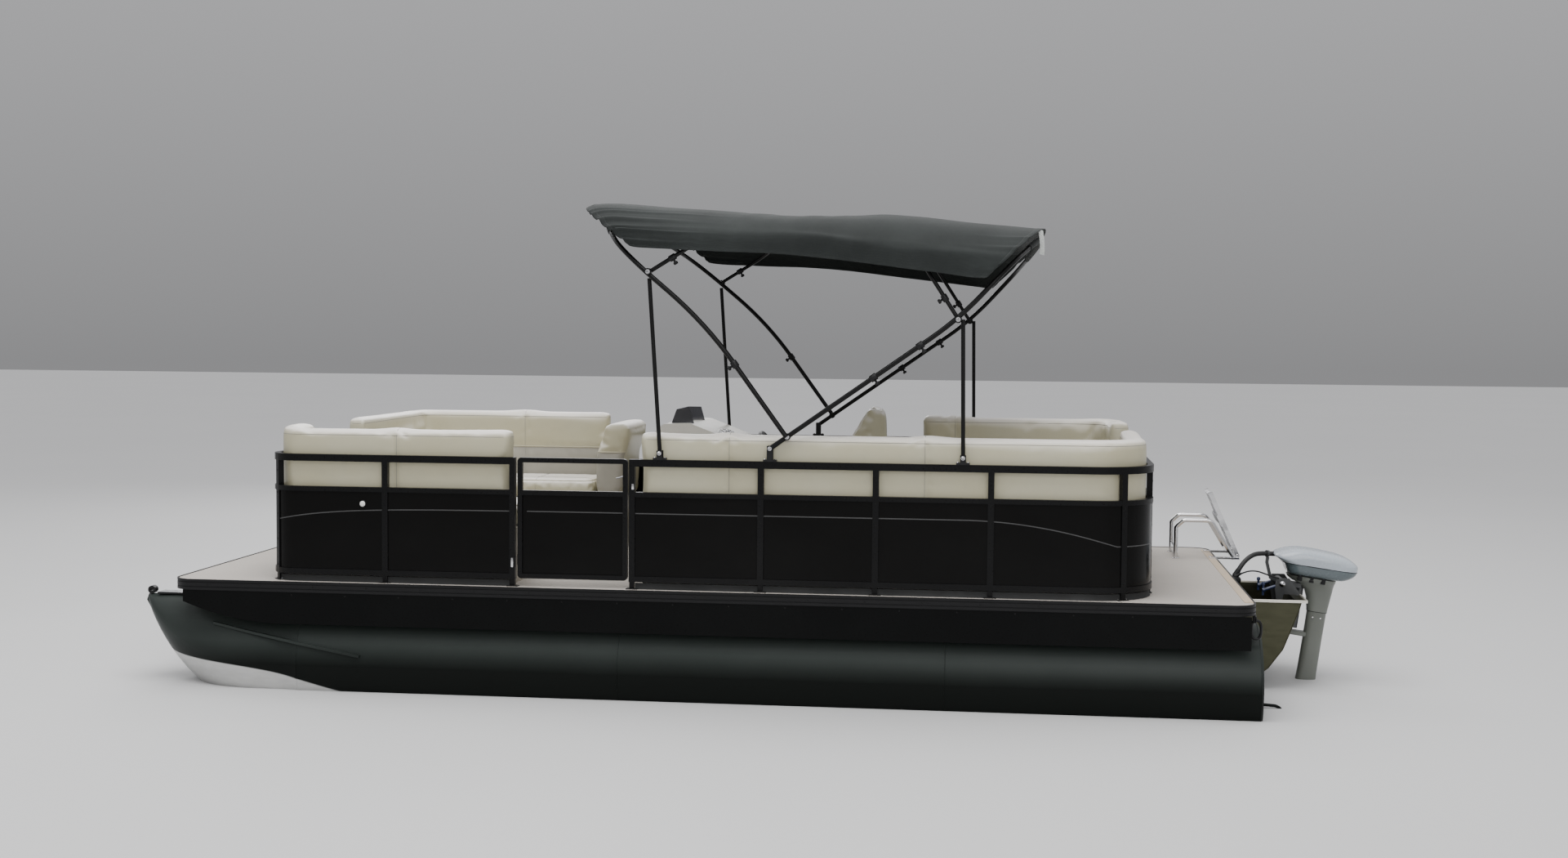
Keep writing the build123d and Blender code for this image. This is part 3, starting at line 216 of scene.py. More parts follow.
class Look:
    """A node material in the making: its tree, its coordinates and its shader."""

    def __init__(self, name):
        self.material = bpy.data.materials.new(name)
        self.material.use_nodes = True
        self.tree = self.material.node_tree
        self.shader = self.tree.nodes["Principled BSDF"]
        self.place = self.node("TexCoord").outputs["Object"]

    def node(self, kind, links=(), **settings):
        node = self.tree.nodes.new("ShaderNode" + kind)
        for key, value in settings.items():
            setattr(node, key, value)
        for socket, value in links:
            if is_socket(value):
                self.tree.links.new(value, node.inputs[socket])
            else:
                node.inputs[socket].default_value = value
        return node

    def stretch(self, scale):
        """Coordinates scaled along the axes."""
        return self.node("Mapping", [("Vector", self.place), ("Scale", scale)]).outputs[0]

    def noise(self, scale, detail=4.0, rough=0.5, place=None):
        return self.node("TexNoise", [("Vector", place or self.place), ("Scale", scale),
                                      ("Detail", detail), ("Roughness", rough)]).outputs[0]

    def cells(self, scale):
        return self.node("TexVoronoi", [("Vector", self.place), ("Scale", scale)]).outputs[0]

    def weave(self, scale, operation):
        """Bands along X and along Y, put together."""
        bands = [self.node("TexWave", [("Vector", self.place), ("Scale", scale)], wave_type="BANDS",
                           bands_direction=axis).outputs[1] for axis in "XY"]
        return self.math(*bands, operation)

    def curve(self, value, low, high, to_low=0.0, to_high=1.0):
        """Map a value's range onto another."""
        return self.node("MapRange", [("Value", value), ("From Min", low), ("From Max", high),
                                      ("To Min", to_low), ("To Max", to_high)]).outputs[0]

    def math(self, a, b, operation="ADD"):
        return self.node("Math", [(0, a), (1, b)], operation=operation).outputs[0]

    def blend(self, share, a, b):
        """Mix two colours by a share."""
        a, b = [value if is_socket(value) else (*value, 1) for value in (a, b)]
        return self.node("Mix", [(0, share), (6, a), (7, b)], data_type="RGBA").outputs[2]

    def bump(self, height, strength, distance, under=None):
        links = [("Height", height), ("Strength", strength), ("Distance", distance)]
        return self.node("Bump", links + ([("Normal", under)] if under else [])).outputs[0]

    def parts(self, vector):
        return self.node("SeparateXYZ", [("Vector", vector)]).outputs

    def set(self, **sockets):
        """Set or link sockets of the shader, spaces written as underscores."""
        for key, value in sockets.items():
            socket = self.shader.inputs[key.replace("_", " ")]
            if is_socket(value):
                self.tree.links.new(value, socket)
            else:
                socket.default_value = value
        return self.material


def paint_look(name, colour, rough=0.2, coat=0.6, wave=0.0, dust=0.06, specular=0.5):
    """Gloss paint with faint orange peel, dust and, if asked, slow waves in the sheet."""
    look = Look(name)
    base = look.blend(look.noise(3.2, 5), shade(colour, 0.82), shade(colour, 1.18, 0.0004))
    base = look.blend(look.curve(look.noise(1.4, 6, 0.6), 0.45, 0.8, 0, dust), base, (0.3, 0.3, 0.28))
    peel = look.bump(look.noise(420, 2), 0.05, 0.0006)
    if wave:
        peel = look.bump(look.noise(1.7, 1, place=look.stretch((1, 1, 2.2))), wave, 0.02, peel)
    return look.set(Base_Color=base, Roughness=look.curve(look.noise(90, 3), 0.3, 0.7, rough * 0.85, rough * 1.2),
                    Coat_Weight=coat, Coat_Roughness=0.06, Specular_IOR_Level=specular, Normal=peel)


# The motor's frame: its tilt pin, and how far it is trimmed aft
tilt_pin = Vector((-3.19, 0.0, 0.56))
trim = math.radians(7.8)


def cowl_look(name, upper, lower, edge):
    """Cowl paint in two tones that meet at a height in the motor's trimmed frame: the lower tone is a darker copy of
    the upper one, painted shade on the cowl's lower side.
    """
    look = Look(name)
    tilted = look.node("VectorMath", [(0, look.place), (1, (-math.sin(trim), 0, math.cos(trim)))],
                       operation="DOT_PRODUCT").outputs[1]
    height = tilt_pin.z * math.cos(trim) - tilt_pin.x * math.sin(trim) + edge
    patch = look.noise(5, 4)
    # Below the height the cowl takes the darker copy of its colour: painted shade
    colour = look.blend(look.curve(tilted, height - 0.0005, height + 0.0005),
                        look.blend(patch, shade(lower, 0.85), shade(lower, 1.15)),
                        look.blend(patch, shade(upper, 0.93), shade(upper, 1.06)))
    return look.set(Base_Color=colour, Roughness=look.curve(look.noise(60, 3), 0.3, 0.7, 0.2, 0.3), Coat_Weight=0.35,
                    Coat_Roughness=0.08, Normal=look.bump(look.noise(420, 2), 0.05, 0.0006))


def metal_look(name, colour, rough, brushed=(1, 1, 1), stain=0.12):
    """Bare metal with brushing along one axis and soft staining."""
    look = Look(name)
    grain = look.noise(60, 4, place=look.stretch(brushed))
    base = look.blend(look.curve(look.noise(4, 6, 0.6), 0.35, 0.75), colour, shade(colour, 1 - stain * 2))
    base = look.blend(look.curve(grain, 0.3, 0.7, 0, 0.25), base, shade(colour, 0.7))
    return look.set(Base_Color=base, Metallic=1.0, Normal=look.bump(grain, 0.12, 0.0008),
                    Roughness=look.curve(grain, 0.3, 0.7, rough * 0.75, rough * 1.3))


def plastic_look(name, colour, rough=0.4, grain=500, depth=0.0005, specular=0.5):
    """Moulded plastic or rubber with a fine grain and some wear."""
    look = Look(name)
    patch = look.noise(7, 5)
    return look.set(Base_Color=look.blend(patch, shade(colour, 0.85), shade(colour, 1.15, 0.001)),
                    Roughness=look.curve(patch, 0.3, 0.7, rough * 0.85, rough * 1.15), Specular_IOR_Level=specular,
                    Normal=look.bump(look.cells(grain), 0.2, depth))


def vinyl_look(name, colour, rough=0.42, top=None):
    """Upholstery vinyl: leather grain, faint tint changes, random darker patches and, given a top colour, up-facing
    faces painted paler as a painted highlight over sides left darker as painted shade.
    """
    look = Look(name)
    pores = look.noise(1100, 2)
    warm = [c * f for c, f in zip(colour, (0.93, 0.9, 0.82))]
    base = look.blend(look.curve(look.noise(2.3, 6, 0.55), 0.35, 0.7, 0, 0.8), colour, warm)
    base = look.blend(look.curve(look.noise(14, 4), 0.5, 0.8, 0, 0.25), base, shade(colour, 0.8))
    # Painted light: faces turned up blend to the paler top colour as a painted highlight, so the sides stay darker as
    # painted shade
    if top:
        rise = look.parts(look.node("NewGeometry").outputs["Normal"])[2]
        base = look.blend(look.curve(rise, 0.05, 0.9), base, top)
    grain = look.bump(look.cells(650), 0.22, 0.0009)
    grain = look.bump(pores, 0.1, 0.0004, grain)
    grain = look.bump(look.noise(9, 3), 0.12, 0.006, grain)
    return look.set(Base_Color=base, Roughness=look.curve(pores, 0.3, 0.7, rough * 0.9, rough * 1.15),
                    Coat_Weight=0.08, Coat_Roughness=0.3, Normal=grain)


def fabric_look(name, colour, scale=900, rough=0.85, folds=0.0):
    """Woven cloth: two crossed threads, mottled dye and a soft sheen."""
    look = Look(name)
    weave = look.weave(scale * 0.16, "MULTIPLY")
    base = look.blend(look.curve(look.noise(2.6, 7, 0.6), 0.35, 0.7), shade(colour, 0.8), shade(colour, 1.25, 0.001))
    base = look.blend(look.curve(weave, 0.1, 0.9, 0, 0.35), base, shade(colour, 0.6))
    thread = look.bump(weave, 0.35, 0.0006)
    if folds:
        thread = look.bump(look.noise(5, 5, 0.6, look.stretch((2.5, 0.7, 1))), folds, 0.02, thread)
    return look.set(Base_Color=base, Roughness=rough, Sheen_Weight=0.06, Sheen_Roughness=0.5,
                    Specular_IOR_Level=0.25, Normal=thread)


def deck_look(name, colour):
    """Woven deck vinyl: heather flecks and a tight basket weave."""
    look = Look(name)
    fleck = look.cells(420)
    base = look.blend(look.curve(fleck, 0.1, 0.6), shade(colour, 0.78), shade(colour, 1.12))
    base = look.blend(look.curve(look.noise(1.6, 6, 0.6), 0.4, 0.75, 0, 0.3), base, shade(colour, 0.72))
    return look.set(Base_Color=base, Roughness=look.curve(fleck, 0, 0.7, 0.62, 0.8),
                    Normal=look.bump(look.weave(62, "MAXIMUM"), 0.3, 0.0012))


def pontoon_look(name):
    """Dark gloss paint over bare aluminium that shows along the bottom of the nose; the paint is paler up high as a
    painted reflection and near black low down as painted shade.
    """
    look = Look(name)
    x, y, z = look.parts(look.place)
    # Height of the paint's lower edge along the nose, and below it the bare metal
    edge = look.node("FloatCurve", [("Value", look.curve(x, 1.6, 3.2))])
    points = edge.mapping.curves[0].points
    points[0].location = (0, 0.3)
    points[1].location = (1, 0.82)
    for place in ((0.13, 0.34), (0.49, 0.61), (0.905, 0.762)):
        points.new(*place)
    edge.mapping.update()
    line = look.curve(edge.outputs[0], 0, 1, -0.2, 0.3)
    bare = look.curve(look.math(line, z, "SUBTRACT"), -0.003, 0.004)
    bare = look.math(bare, look.curve(x, 1.75, 1.85), "MULTIPLY")
    patch = look.noise(2.4, 6, 0.6)
    # Painted light: the upper paint tone is a painted reflection, and below the height blend the tube turns near black
    # as painted shade
    paint = look.blend(patch, (0.024, 0.03, 0.027), (0.034, 0.04, 0.037))
    painted_shade_below = look.blend(patch, (0.0018, 0.003, 0.0022), (0.0028, 0.0042, 0.0032))
    height = look.math(z, look.curve(look.noise(3, 4), 0, 1, 0, 0.02))
    paint = look.blend(look.curve(height, 0.15, 0.27), painted_shade_below, paint)
    grain = look.noise(40, 4, place=look.stretch((0.3, 1, 1)))
    metal = look.blend(grain, (0.5, 0.5, 0.49), (0.66, 0.66, 0.65))
    return look.set(Base_Color=look.blend(bare, paint, metal), Metallic=bare, Roughness=0.36, Specular_IOR_Level=0.12,
                    Normal=look.bump(look.noise(2.2, 2, place=look.stretch((1, 2, 2))), 0.06, 0.02))


def glass_look(name):
    """Smoked acrylic."""
    look = Look(name)
    return look.set(Base_Color=look.blend(look.noise(6, 4), (0.1, 0.1, 0.11), (0.13, 0.13, 0.14)),
                    Roughness=look.curve(look.noise(30, 3), 0.3, 0.7, 0.04, 0.09), Transmission_Weight=0.75, IOR=1.49)


def floor_look(name):
    look = Look(name)
    return look.set(Base_Color=look.blend(look.noise(0.35, 3), (0.6, 0.6, 0.6), (0.64, 0.64, 0.635)),
                    Roughness=0.7)


brushed = (0.2, 1, 1)
looks = {name: make(name, *values) for name, make, *values in (
    ("pontoon_paint", pontoon_look),
    ("bare_aluminium", metal_look, (0.6, 0.61, 0.62), 0.38, brushed),
    ("deck_vinyl", deck_look, (0.435, 0.4, 0.36)),
    ("trim_black", plastic_look, (0.008, 0.008, 0.0085), 0.4, 300, 0.0005, 0.2),
    ("skirt_black", paint_look, (0.003, 0.0032, 0.0032), 0.3, 0.01, 0.1, 0.005, 0.07),
    ("fence_black", paint_look, (0.004, 0.004, 0.0042), 0.3, 0.03, 0, 0.01, 0.14),
    ("panel_gloss", paint_look, (0.0036, 0.0034, 0.0032), 0.2, 0.02, 0.16, 0.005, 0.08),
    # Seat vinyl: the first colour is the darker side tone, painted shade, and the last the paler top tone, painted
    # highlight
    ("seat_vinyl", vinyl_look, (0.5, 0.475, 0.345), 0.36, (0.84, 0.8, 0.735)),
    ("seat_base", plastic_look, (0.56, 0.53, 0.46), 0.5, 260),
    ("console_plastic", plastic_look, (0.7, 0.68, 0.62), 0.34, 380),
    ("bow_black", paint_look, (0.005, 0.005, 0.005), 0.34, 0.02, 0, 0.01, 0.18),
    ("black_plastic", plastic_look, (0.008, 0.008, 0.0085), 0.45, 420, 0.0005, 0.25),
    ("canopy_fabric", fabric_look, (0.021, 0.0245, 0.0235), 900, 0.85, 0.2),
    # Cowl: bluish silver above, and below the gasket height a darker copy of it as painted shade
    ("motor_white", cowl_look, (0.43, 0.475, 0.52), (0.095, 0.122, 0.132), 0.124),
    ("motor_grey", paint_look, (0.155, 0.165, 0.145), 0.36, 0.1, 0, 0.03, 0.4),
    ("engine_iron", metal_look, (0.14, 0.14, 0.14), 0.6),
    ("stainless", metal_look, (0.74, 0.74, 0.75), 0.14, brushed, 0.04),
    ("hose_rubber", plastic_look, (0.014, 0.014, 0.014), 0.5, 260, 0.0008),
    # Welt vinyl kept near the seats' darker side tone, a shaded copy of the same vinyl: painted shade
    ("welt_vinyl", vinyl_look, (0.47, 0.445, 0.335), 0.45),
    ("seam_thread", plastic_look, (0.3, 0.285, 0.25), 0.7, 900),
    ("back_shell", plastic_look, (0.3, 0.285, 0.24), 0.5, 300),
    ("stripe_grey", paint_look, (0.055, 0.055, 0.055), 0.4, 0.05, 0, 0.02, 0.3),
    ("light_lens", plastic_look, (0.82, 0.82, 0.78), 0.15, 900, 0.0002),
    ("beige_strip", plastic_look, (0.5, 0.4, 0.29), 0.5, 420),
    ("seam_dark", plastic_look, (0.012, 0.013, 0.013), 0.7, 900),
    ("post_blue", paint_look, (0.02, 0.032, 0.085), 0.35, 0.3),
    # Pod rim: the pod's aluminium painted pale cream as a painted highlight along its flange
    ("rim_cream", metal_look, (0.88, 0.85, 0.76), 0.42, brushed, 0.05),
    # Pod aluminium darkened to a dark olive: painted shade and painted reflection of dark surroundings
    ("pod_metal", metal_look, (0.085, 0.085, 0.055), 0.36, brushed, 0.1),
    ("strap_white", fabric_look, (0.55, 0.57, 0.55), 2600, 0.8),
    ("bracket_grey", paint_look, (0.045, 0.047, 0.048), 0.36, 0.1),
    ("grip_leather", vinyl_look, (0.02, 0.02, 0.021), 0.5),
    ("smoked_acrylic", glass_look),
    ("floor", floor_look),
)}
own_looks = {"motor_pod": "pod_metal", "motor_swivel_bracket": "bracket_grey", "motor_clamp_bracket": "bracket_grey"}
for part in frame["record"]["subparts"]:
    materials = nodes[part["node"]].data.materials
    materials.clear()
    materials.append(looks[own_looks.get(part["node"], part["material_slot"])])


# Cords first: the rigging hose and the thin cable, as smooth curves through the CAD's route points

def cord_line(name, points):
    """Points along a smooth NURBS curve over a route."""
    curve = bpy.data.curves.new(name, "CURVE")
    curve.dimensions = "3D"
    curve.resolution_u = 16
    spline = curve.splines.new("NURBS")
    spline.points.add(len(points) - 1)
    for target, place in zip(spline.points, points):
        target.co = (*place, 1)
    spline.order_u = 3
    spline.use_endpoint_u = True
    obj = add_object(name, curve)
    mesh = bpy.data.meshes.new_from_object(obj)
    line = [Vector(v.co) for v in mesh.vertices]
    bpy.data.objects.remove(obj)
    bpy.data.meshes.remove(mesh)
    return line


def cord_tube(name, line, diameter, node_name, steps=20):
    """A round tube along a line, in place of the CAD's."""
    bm = bmesh.new()
    bead(bm, line, diameter / 2, steps)
    tube = from_bmesh(name, bm)
    tube.data.materials.append(looks["hose_rubber"])
    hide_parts(node_name)
    return tube


def line_length(line):
    return sum((b - a).length for a, b in zip(line, line[1:]))


hose_diameter = 0.027
cable_diameter = 0.009
hose_clip = (-3.118, 0.004, 0.719)
hose_route = [(-2.9325, 0.1, 0.604), (-2.96, 0.091, 0.656), (-3.006, 0.068, 0.703), (-3.06, 0.032, 0.724),
              hose_clip]
hose_line = cord_line("hose_line", hose_route)
rigging_hose = cord_tube("hose_tube", hose_line, hose_diameter, "rigging_hose")
cable_route = [(-2.9325, 0.136, 0.601), (-2.9725, 0.152, 0.629), (-3.0375, 0.16, 0.639),
               (-3.108, 0.16, 0.613), (-3.17, 0.122, 0.592)]
cable_line = cord_line("cable_line", cable_route)
control_cable = cord_tube("cable_tube", cable_line, cable_diameter, "control_cable", 14)
# The hose's last stretch runs straight from its clip into the cowl
hose_run = (hose_line[-1] - hose_line[-2]).normalized()
hose_end = cord_tube("hose_end_tube", [hose_line[-1] + hose_run * along for along in (0.0, 0.02, 0.04, 0.06)],
                     hose_diameter, "rigging_hose_end")
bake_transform(rigging_hose)
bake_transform(hose_end)
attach(control_cable, "hull")

# Padded pieces: the CAD form, remeshed, drawn in a little and blown up as sewn vinyl

base_top = 0.895
welt_height = 1.009
back_seam_height = 1.197
back_top_seam_height = 1.395
chair_seam_height = 1.06
seat_seam_y = 0.735
pad_shrink = 0.009
pad_cap = 0.011
pad_frames = 20
pad_voxel = {"seat": 0.018, "back": 0.021, "chair": 0.015}
pad_cloth = {"quality": 4, "mass": 0.3, "tension_stiffness": 14, "compression_stiffness": 14, "shear_stiffness": 5,
             "bending_stiffness": 0.6, "use_pressure": True, "uniform_pressure_force": 4, "shrink_min": -0.03,
             "vertex_group_mass": "sewn"}


def to_middle(p):
    """Direction on the level from a point towards the boat's open floor."""
    return Vector((max(-1.35, min(1.45, p.x)) - p.x, -p.y, 0)).normalized()


# Pads: name, CAD node, body, kind, upright seams by x
lounges = (("port_bow", "bench"), ("port_aft", "lounge"), ("starboard_bow", "lounge"), ("starboard_aft", "bench"))
pad_table = []
for part, kind, seam_rows in (("lid", "seat", ((1.36,), (-0.69, -1.2), (1.36,), (-1.55,))),
                              ("seat", "seat", ((1.96,), (), (), ())),
                              ("back", "back", ((1.66,), (-0.164, -1.2), (1.55,), (-1.284,)))):
    for (place, form), seams in zip(lounges, seam_rows):
        pad_table.append((f"{place}_{part}_pad", f"{place}_{form}_{part}",
                          f"{place}_lid" if part == "lid" else "hull", kind, seams))
pad_table.append(("helm_chair_pad", "helm_chair", "chair", "chair", ()))

pads = []
for name, node_name, body, kind, seams in pad_table:
    mesh = nodes[node_name].data.copy()
    mesh.materials.clear()
    pad = add_object(name, mesh)
    remesh = pad.modifiers.new("remesh", "REMESH")
    remesh.mode = "VOXEL"
    remesh.voxel_size = pad_voxel[kind]
    settle(pad)
    bm = bmesh.new()
    bm.from_mesh(pad.data)
    for step in range(3):
        bmesh.ops.smooth_vert(bm, verts=bm.verts, factor=0.5, use_axis_x=True, use_axis_y=True, use_axis_z=True)
    bm.normal_update()
    lowest_z = min(v.co.z for v in bm.verts)
    pinned = []
    for v in bm.verts:
        v.co -= v.normal * pad_shrink
        fold = kind == "seat" and 0.45 < v.normal.z < 0.85
        seam = kind == "back" and (any(abs(v.co.x - x) < 0.011 for x in seams)
                                   or abs(v.co.z - back_seam_height) < 0.011 and v.normal.dot(to_middle(v.co)) > 0.4)
        if fold or seam or v.normal.z < -0.6 or v.co.z < lowest_z + 0.02:
            pinned.append(v.index)
    bm.to_mesh(pad.data)
    bm.free()
    pad.vertex_groups.new(name="sewn").add(pinned, 1.0, "REPLACE")
    pads.append(pad)

scene = bpy.context.scene
starts = []
for pad in pads:
    starts.append(np.array([v.co[:] for v in pad.data.vertices]))
    cloth = pad.modifiers.new("cloth", "CLOTH")
    cloth.point_cache.frame_start = 1
    cloth.point_cache.frame_end = pad_frames
    for key, value in pad_cloth.items():
        setattr(cloth.settings, key, value)
    cloth.settings.effector_weights.gravity = 0
    cloth.collision_settings.use_collision = False
for step in range(pad_frames):
    scene.frame_set(step + 1)
for pad, start in zip(pads, starts):
    swollen = evaluated(pad)
    moved = np.array([v.co[:] for v in swollen.vertices]) - start
    size = np.linalg.norm(moved, axis=1, keepdims=True)
    moved *= np.minimum(1.0, pad_cap / np.maximum(size, 1e-9))
    pad.modifiers.clear()
    pad.data.vertices.foreach_set("co", (start + moved).ravel())
    bpy.data.meshes.remove(swollen)
scene.frame_set(1)

for pad in pads:
    pad.vertex_groups.clear()
    soften = pad.modifiers.new("soften", "SUBSURF")
    soften.levels = 1
    soften.render_levels = 1
    settle(pad)
    pad.data.shade_smooth()


def seam_loops(obj, point, normal, keep=None):
    """Ordered lines where a plane cuts a piece's skin."""
    bm = bmesh.new()
    bm.from_mesh(obj.data)
    cut = bmesh.ops.bisect_plane(bm, geom=bm.verts[:] + bm.edges[:] + bm.faces[:], plane_co=point,
                                 plane_no=normal)["geom_cut"]
    links = {}
    for e in cut:
        if isinstance(e, bmesh.types.BMEdge) and (not keep or all(keep(v.co, v.normal) for v in e.verts)):
            a, b = e.verts
            links.setdefault(a, []).append(b)
            links.setdefault(b, []).append(a)
    lines = []
    left = set(links)
    while left:
        ends = [v for v in left if len(links[v]) == 1]
        line = [min(ends or left, key=lambda v: v.co[:])]
        left.discard(line[0])
        while onward := [v for v in links[line[-1]] if v in left]:
            line.append(onward[0])
            left.discard(onward[0])
        closed = len(line) > 2 and line[0] in links[line[-1]]
        if len(line) > 6:
            lines.append(([v.co.copy() for v in line], [v.normal.copy() for v in line], closed))
    bm.free()
    return lines


def thinned(line, normals, closed, spacing=0.012):
    """The line's points at an even spacing, smoothed once."""
    points = [line[0]]
    kept = [normals[0]]
    for p, n in zip(line[1:], normals[1:]):
        if (p - points[-1]).length >= spacing:
            points.append(p)
            kept.append(n)
    count = len(points)
    smooth = [p.copy() if not closed and i in (0, count - 1)
              else (points[i - 1] + p * 2 + points[(i + 1) % count]) / 4 for i, p in enumerate(points)]
    return smooth, kept


def sew(pad, name, body, planes, radius, lift):
    """A bead of piping or a seam along each plane's cut."""
    bm = bmesh.new()
    for point, normal, keep in planes:
        for line, normals, closed in seam_loops(pad, point, normal, keep):
            points, kept = thinned(line, normals, closed)
            if len(points) > 4:
                bead(bm, [p + n * lift for p, n in zip(points, kept)], radius, 6, closed)
    seam = from_bmesh(name, bm)
    seam.data.materials.append(looks["welt_vinyl" if radius > 0.002 else "seam_thread"])
    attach(seam, body)


for pad, (name, node_name, body, kind, seams) in zip(pads, pad_table):
    pad.data.materials.append(looks["seat_vinyl"])
    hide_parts(node_name)
    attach(pad, body)
    if kind == "seat":
        welt = (welt_height, None, 0.0035, 0.0012)
        lines = [((x, 0, 0), (1, 0, 0), lambda p, n: n.z > -0.2) for x in seams]
        side = 1 if pad.data.vertices[0].co.y > 0 else -1
        lines.append(((0, side * seat_seam_y, 0), (0, 1, 0), lambda p, n: n.z > -0.2))
    elif kind == "back":
        pad.data.materials.append(looks["back_shell"])
        for face in pad.data.polygons:
            if face.center.z < back_seam_height and face.normal.dot(to_middle(face.center)) > 0.25:
                face.material_index = 1
        welt = (back_seam_height, lambda p, n: n.dot(to_middle(p)) > 0.25, 0.0045, 0.0)
        lines = [((x, 0, 0), (1, 0, 0), lambda p, n: p.z > base_top + 0.03) for x in seams]
        lines.append(((0, 0, back_top_seam_height), up, None))
    else:
        welt = (chair_seam_height, None, 0.0035, 0.001)
        lines = [((-0.62, -0.7, 0), (0, 1, 0), None)]
    height, keep, radius, lift = welt
    sew(pad, name + "_welt", body, [((0, 0, height), up, keep)], radius, lift)
    sew(pad, name + "_seams", body, lines, 0.0016, 0.0002)

# Canopy: one sheet over the bows, with hems, sleeves round the bows and rows of stitching

canopy_half_width = 1.284
# Arches from bow to stern: side edge (x, z), crown (x, z), as the CAD has them
canopy_arches = [((0.362, 2.42), (0.7, 2.668)), ((0.03, 2.436), (-0.25, 2.632)),
                 ((-0.5, 2.425), (-0.6, 2.618)), ((-1.215, 2.33), (-1.006, 2.632)),
                 ((-1.512, 2.262), (-1.825, 2.556))]
# Shares of the rise and of the half width over one half of an arch, and over the whole
half_arch = [(0.0, 1.0), (0.4, 0.995), (0.8, 0.86), (0.95, 0.5), (1.0, 0.0)]
full_arch = half_arch + [(r, -s) for r, s in half_arch[-2::-1]]
canopy_rows = 96
canopy_columns = 330


def through(values, t):
    """Catmull-Rom curve through a list of tuples, t from 0 to 1."""
    count = len(values) - 1
    place = min(max(t, 0.0), 1.0) * count
    i = min(int(place), count - 1)
    f = place - i
    p = [Vector(values[max(0, min(count, i + k))]) for k in (-1, 0, 1, 2)]
    return 0.5 * ((2 * p[1]) + (p[2] - p[0]) * f + (2 * p[0] - 5 * p[1] + 4 * p[2] - p[3]) * f * f
                  + (3 * p[1] - p[0] - 3 * p[2] + p[3]) * f * f * f)


def canopy_point(u, v, lift=0.0):
    """Point of the sheet: u from bow to stern, v from port edge to starboard edge, both 0 to 1."""
    foot = through([a for a, b in canopy_arches], u)
    crown = through([b for a, b in canopy_arches], u)
    rise, spread = through(full_arch, v)
    side = foot.lerp(crown, rise)
    p = Vector((side.x, canopy_half_width * spread, side.y))
    # The sheet hangs a little between the bows, and its free edges are drawn in between them
    share = abs(2 * v - 1)
    way = 1 if v < 0.5 else -1
    slack = math.sin(math.pi * (u * 4 % 1.0)) ** 2
    edge = share ** 8
    crest = 1 - share ** 3
    p.z -= 0.006 * slack * crest
    p.z -= 0.052 * math.sin(math.pi * u) ** 0.8 * share ** 5
    p.z += 0.045 * (1 - math.exp(-u / 0.03)) * max(0.0, 1 - u / 0.25) * crest
    # Gathers that run in from the front and aft bows, strongest near the corners
    fan = (v if v < 0.5 else 1 - v) * (1 - 0.5 * u)
    gathers = (0.5 + 0.5 * math.sin(172 * fan + 1.2 * math.sin(61 * fan) + 2.0 * u)) ** 2.2
    uneven = 0.6 + 0.4 * math.sin(53 * share + 2.2)
    reach = 0.019 * math.exp(-(u / 0.16) ** 2) + 0.01 * math.exp(-((1 - u) / 0.1) ** 2)
    fold = reach * gathers * uneven * max(0.0, 1 - ((share - 0.8) / 0.34) ** 2) if share > 0.46 else 0.0
    fold += 0.01 * math.exp(-((share - 0.8 - 0.25 * (u - 0.58)) / 0.05) ** 2 - ((u - 0.58) / 0.1) ** 2)
    fold += 0.009 * math.exp(-((share - 0.82 + 0.3 * (u - 0.8)) / 0.04) ** 2 - ((u - 0.8) / 0.12) ** 2)
    outward = min(1.0, share ** 4)
    p.y += fold * outward * way
    p.z += fold * math.sqrt(1 - outward * outward)
    # Pulls from the bows' ends and slow ripples
    ripple = math.sin(26 * u + 5 * v) * math.sin(9 * v + 3.1) + 0.6 * math.sin(61 * u - 14 * v + 1.0)
    pull = math.sin(78 * v + 13 * u) * (0.35 + edge)
    p.z += 0.0016 * ripple * crest + 0.0012 * pull * slack
    p.y += 0.0018 * math.sin(70 * u + 2.0) * edge * way
    if lift:
        du = canopy_point(min(u + 0.004, 1), v) - canopy_point(max(u - 0.004, 0), v)
        dv = canopy_point(u, min(v + 0.004, 1)) - canopy_point(u, max(v - 0.004, 0))
        normal = dv.cross(du)
        p = p + normal.normalized() * lift * (1 if normal.z > 0 else -1)
    return p


def cloth_piece(name, rows, thickness, look, offset=0.0, smooth=True):
    """A piece of cloth over rows of points."""
    bm = bmesh.new()
    bridge(bm, [[bm.verts.new(p) for p in row] for row in rows], False)
    cloth = from_bmesh(name, bm, smooth)
    solid = cloth.modifiers.new("solid", "SOLIDIFY")
    solid.thickness = thickness
    solid.offset = offset
    settle(cloth)
    cloth.data.materials.append(looks[look])
    return cloth


def canopy_patch(name, u_range, v_range, rows, columns, lift=0.0022, thickness=0.002):
    """A piece of the canopy's sheet between these shares of its length and width."""
    (u0, u1), (v0, v1) = u_range, v_range
    return cloth_piece(name, [[canopy_point(u0 + (u1 - u0) * i / rows, v0 + (v1 - v0) * j / columns, lift)
                               for j in range(columns + 1)] for i in range(rows + 1)], thickness, "canopy_fabric")


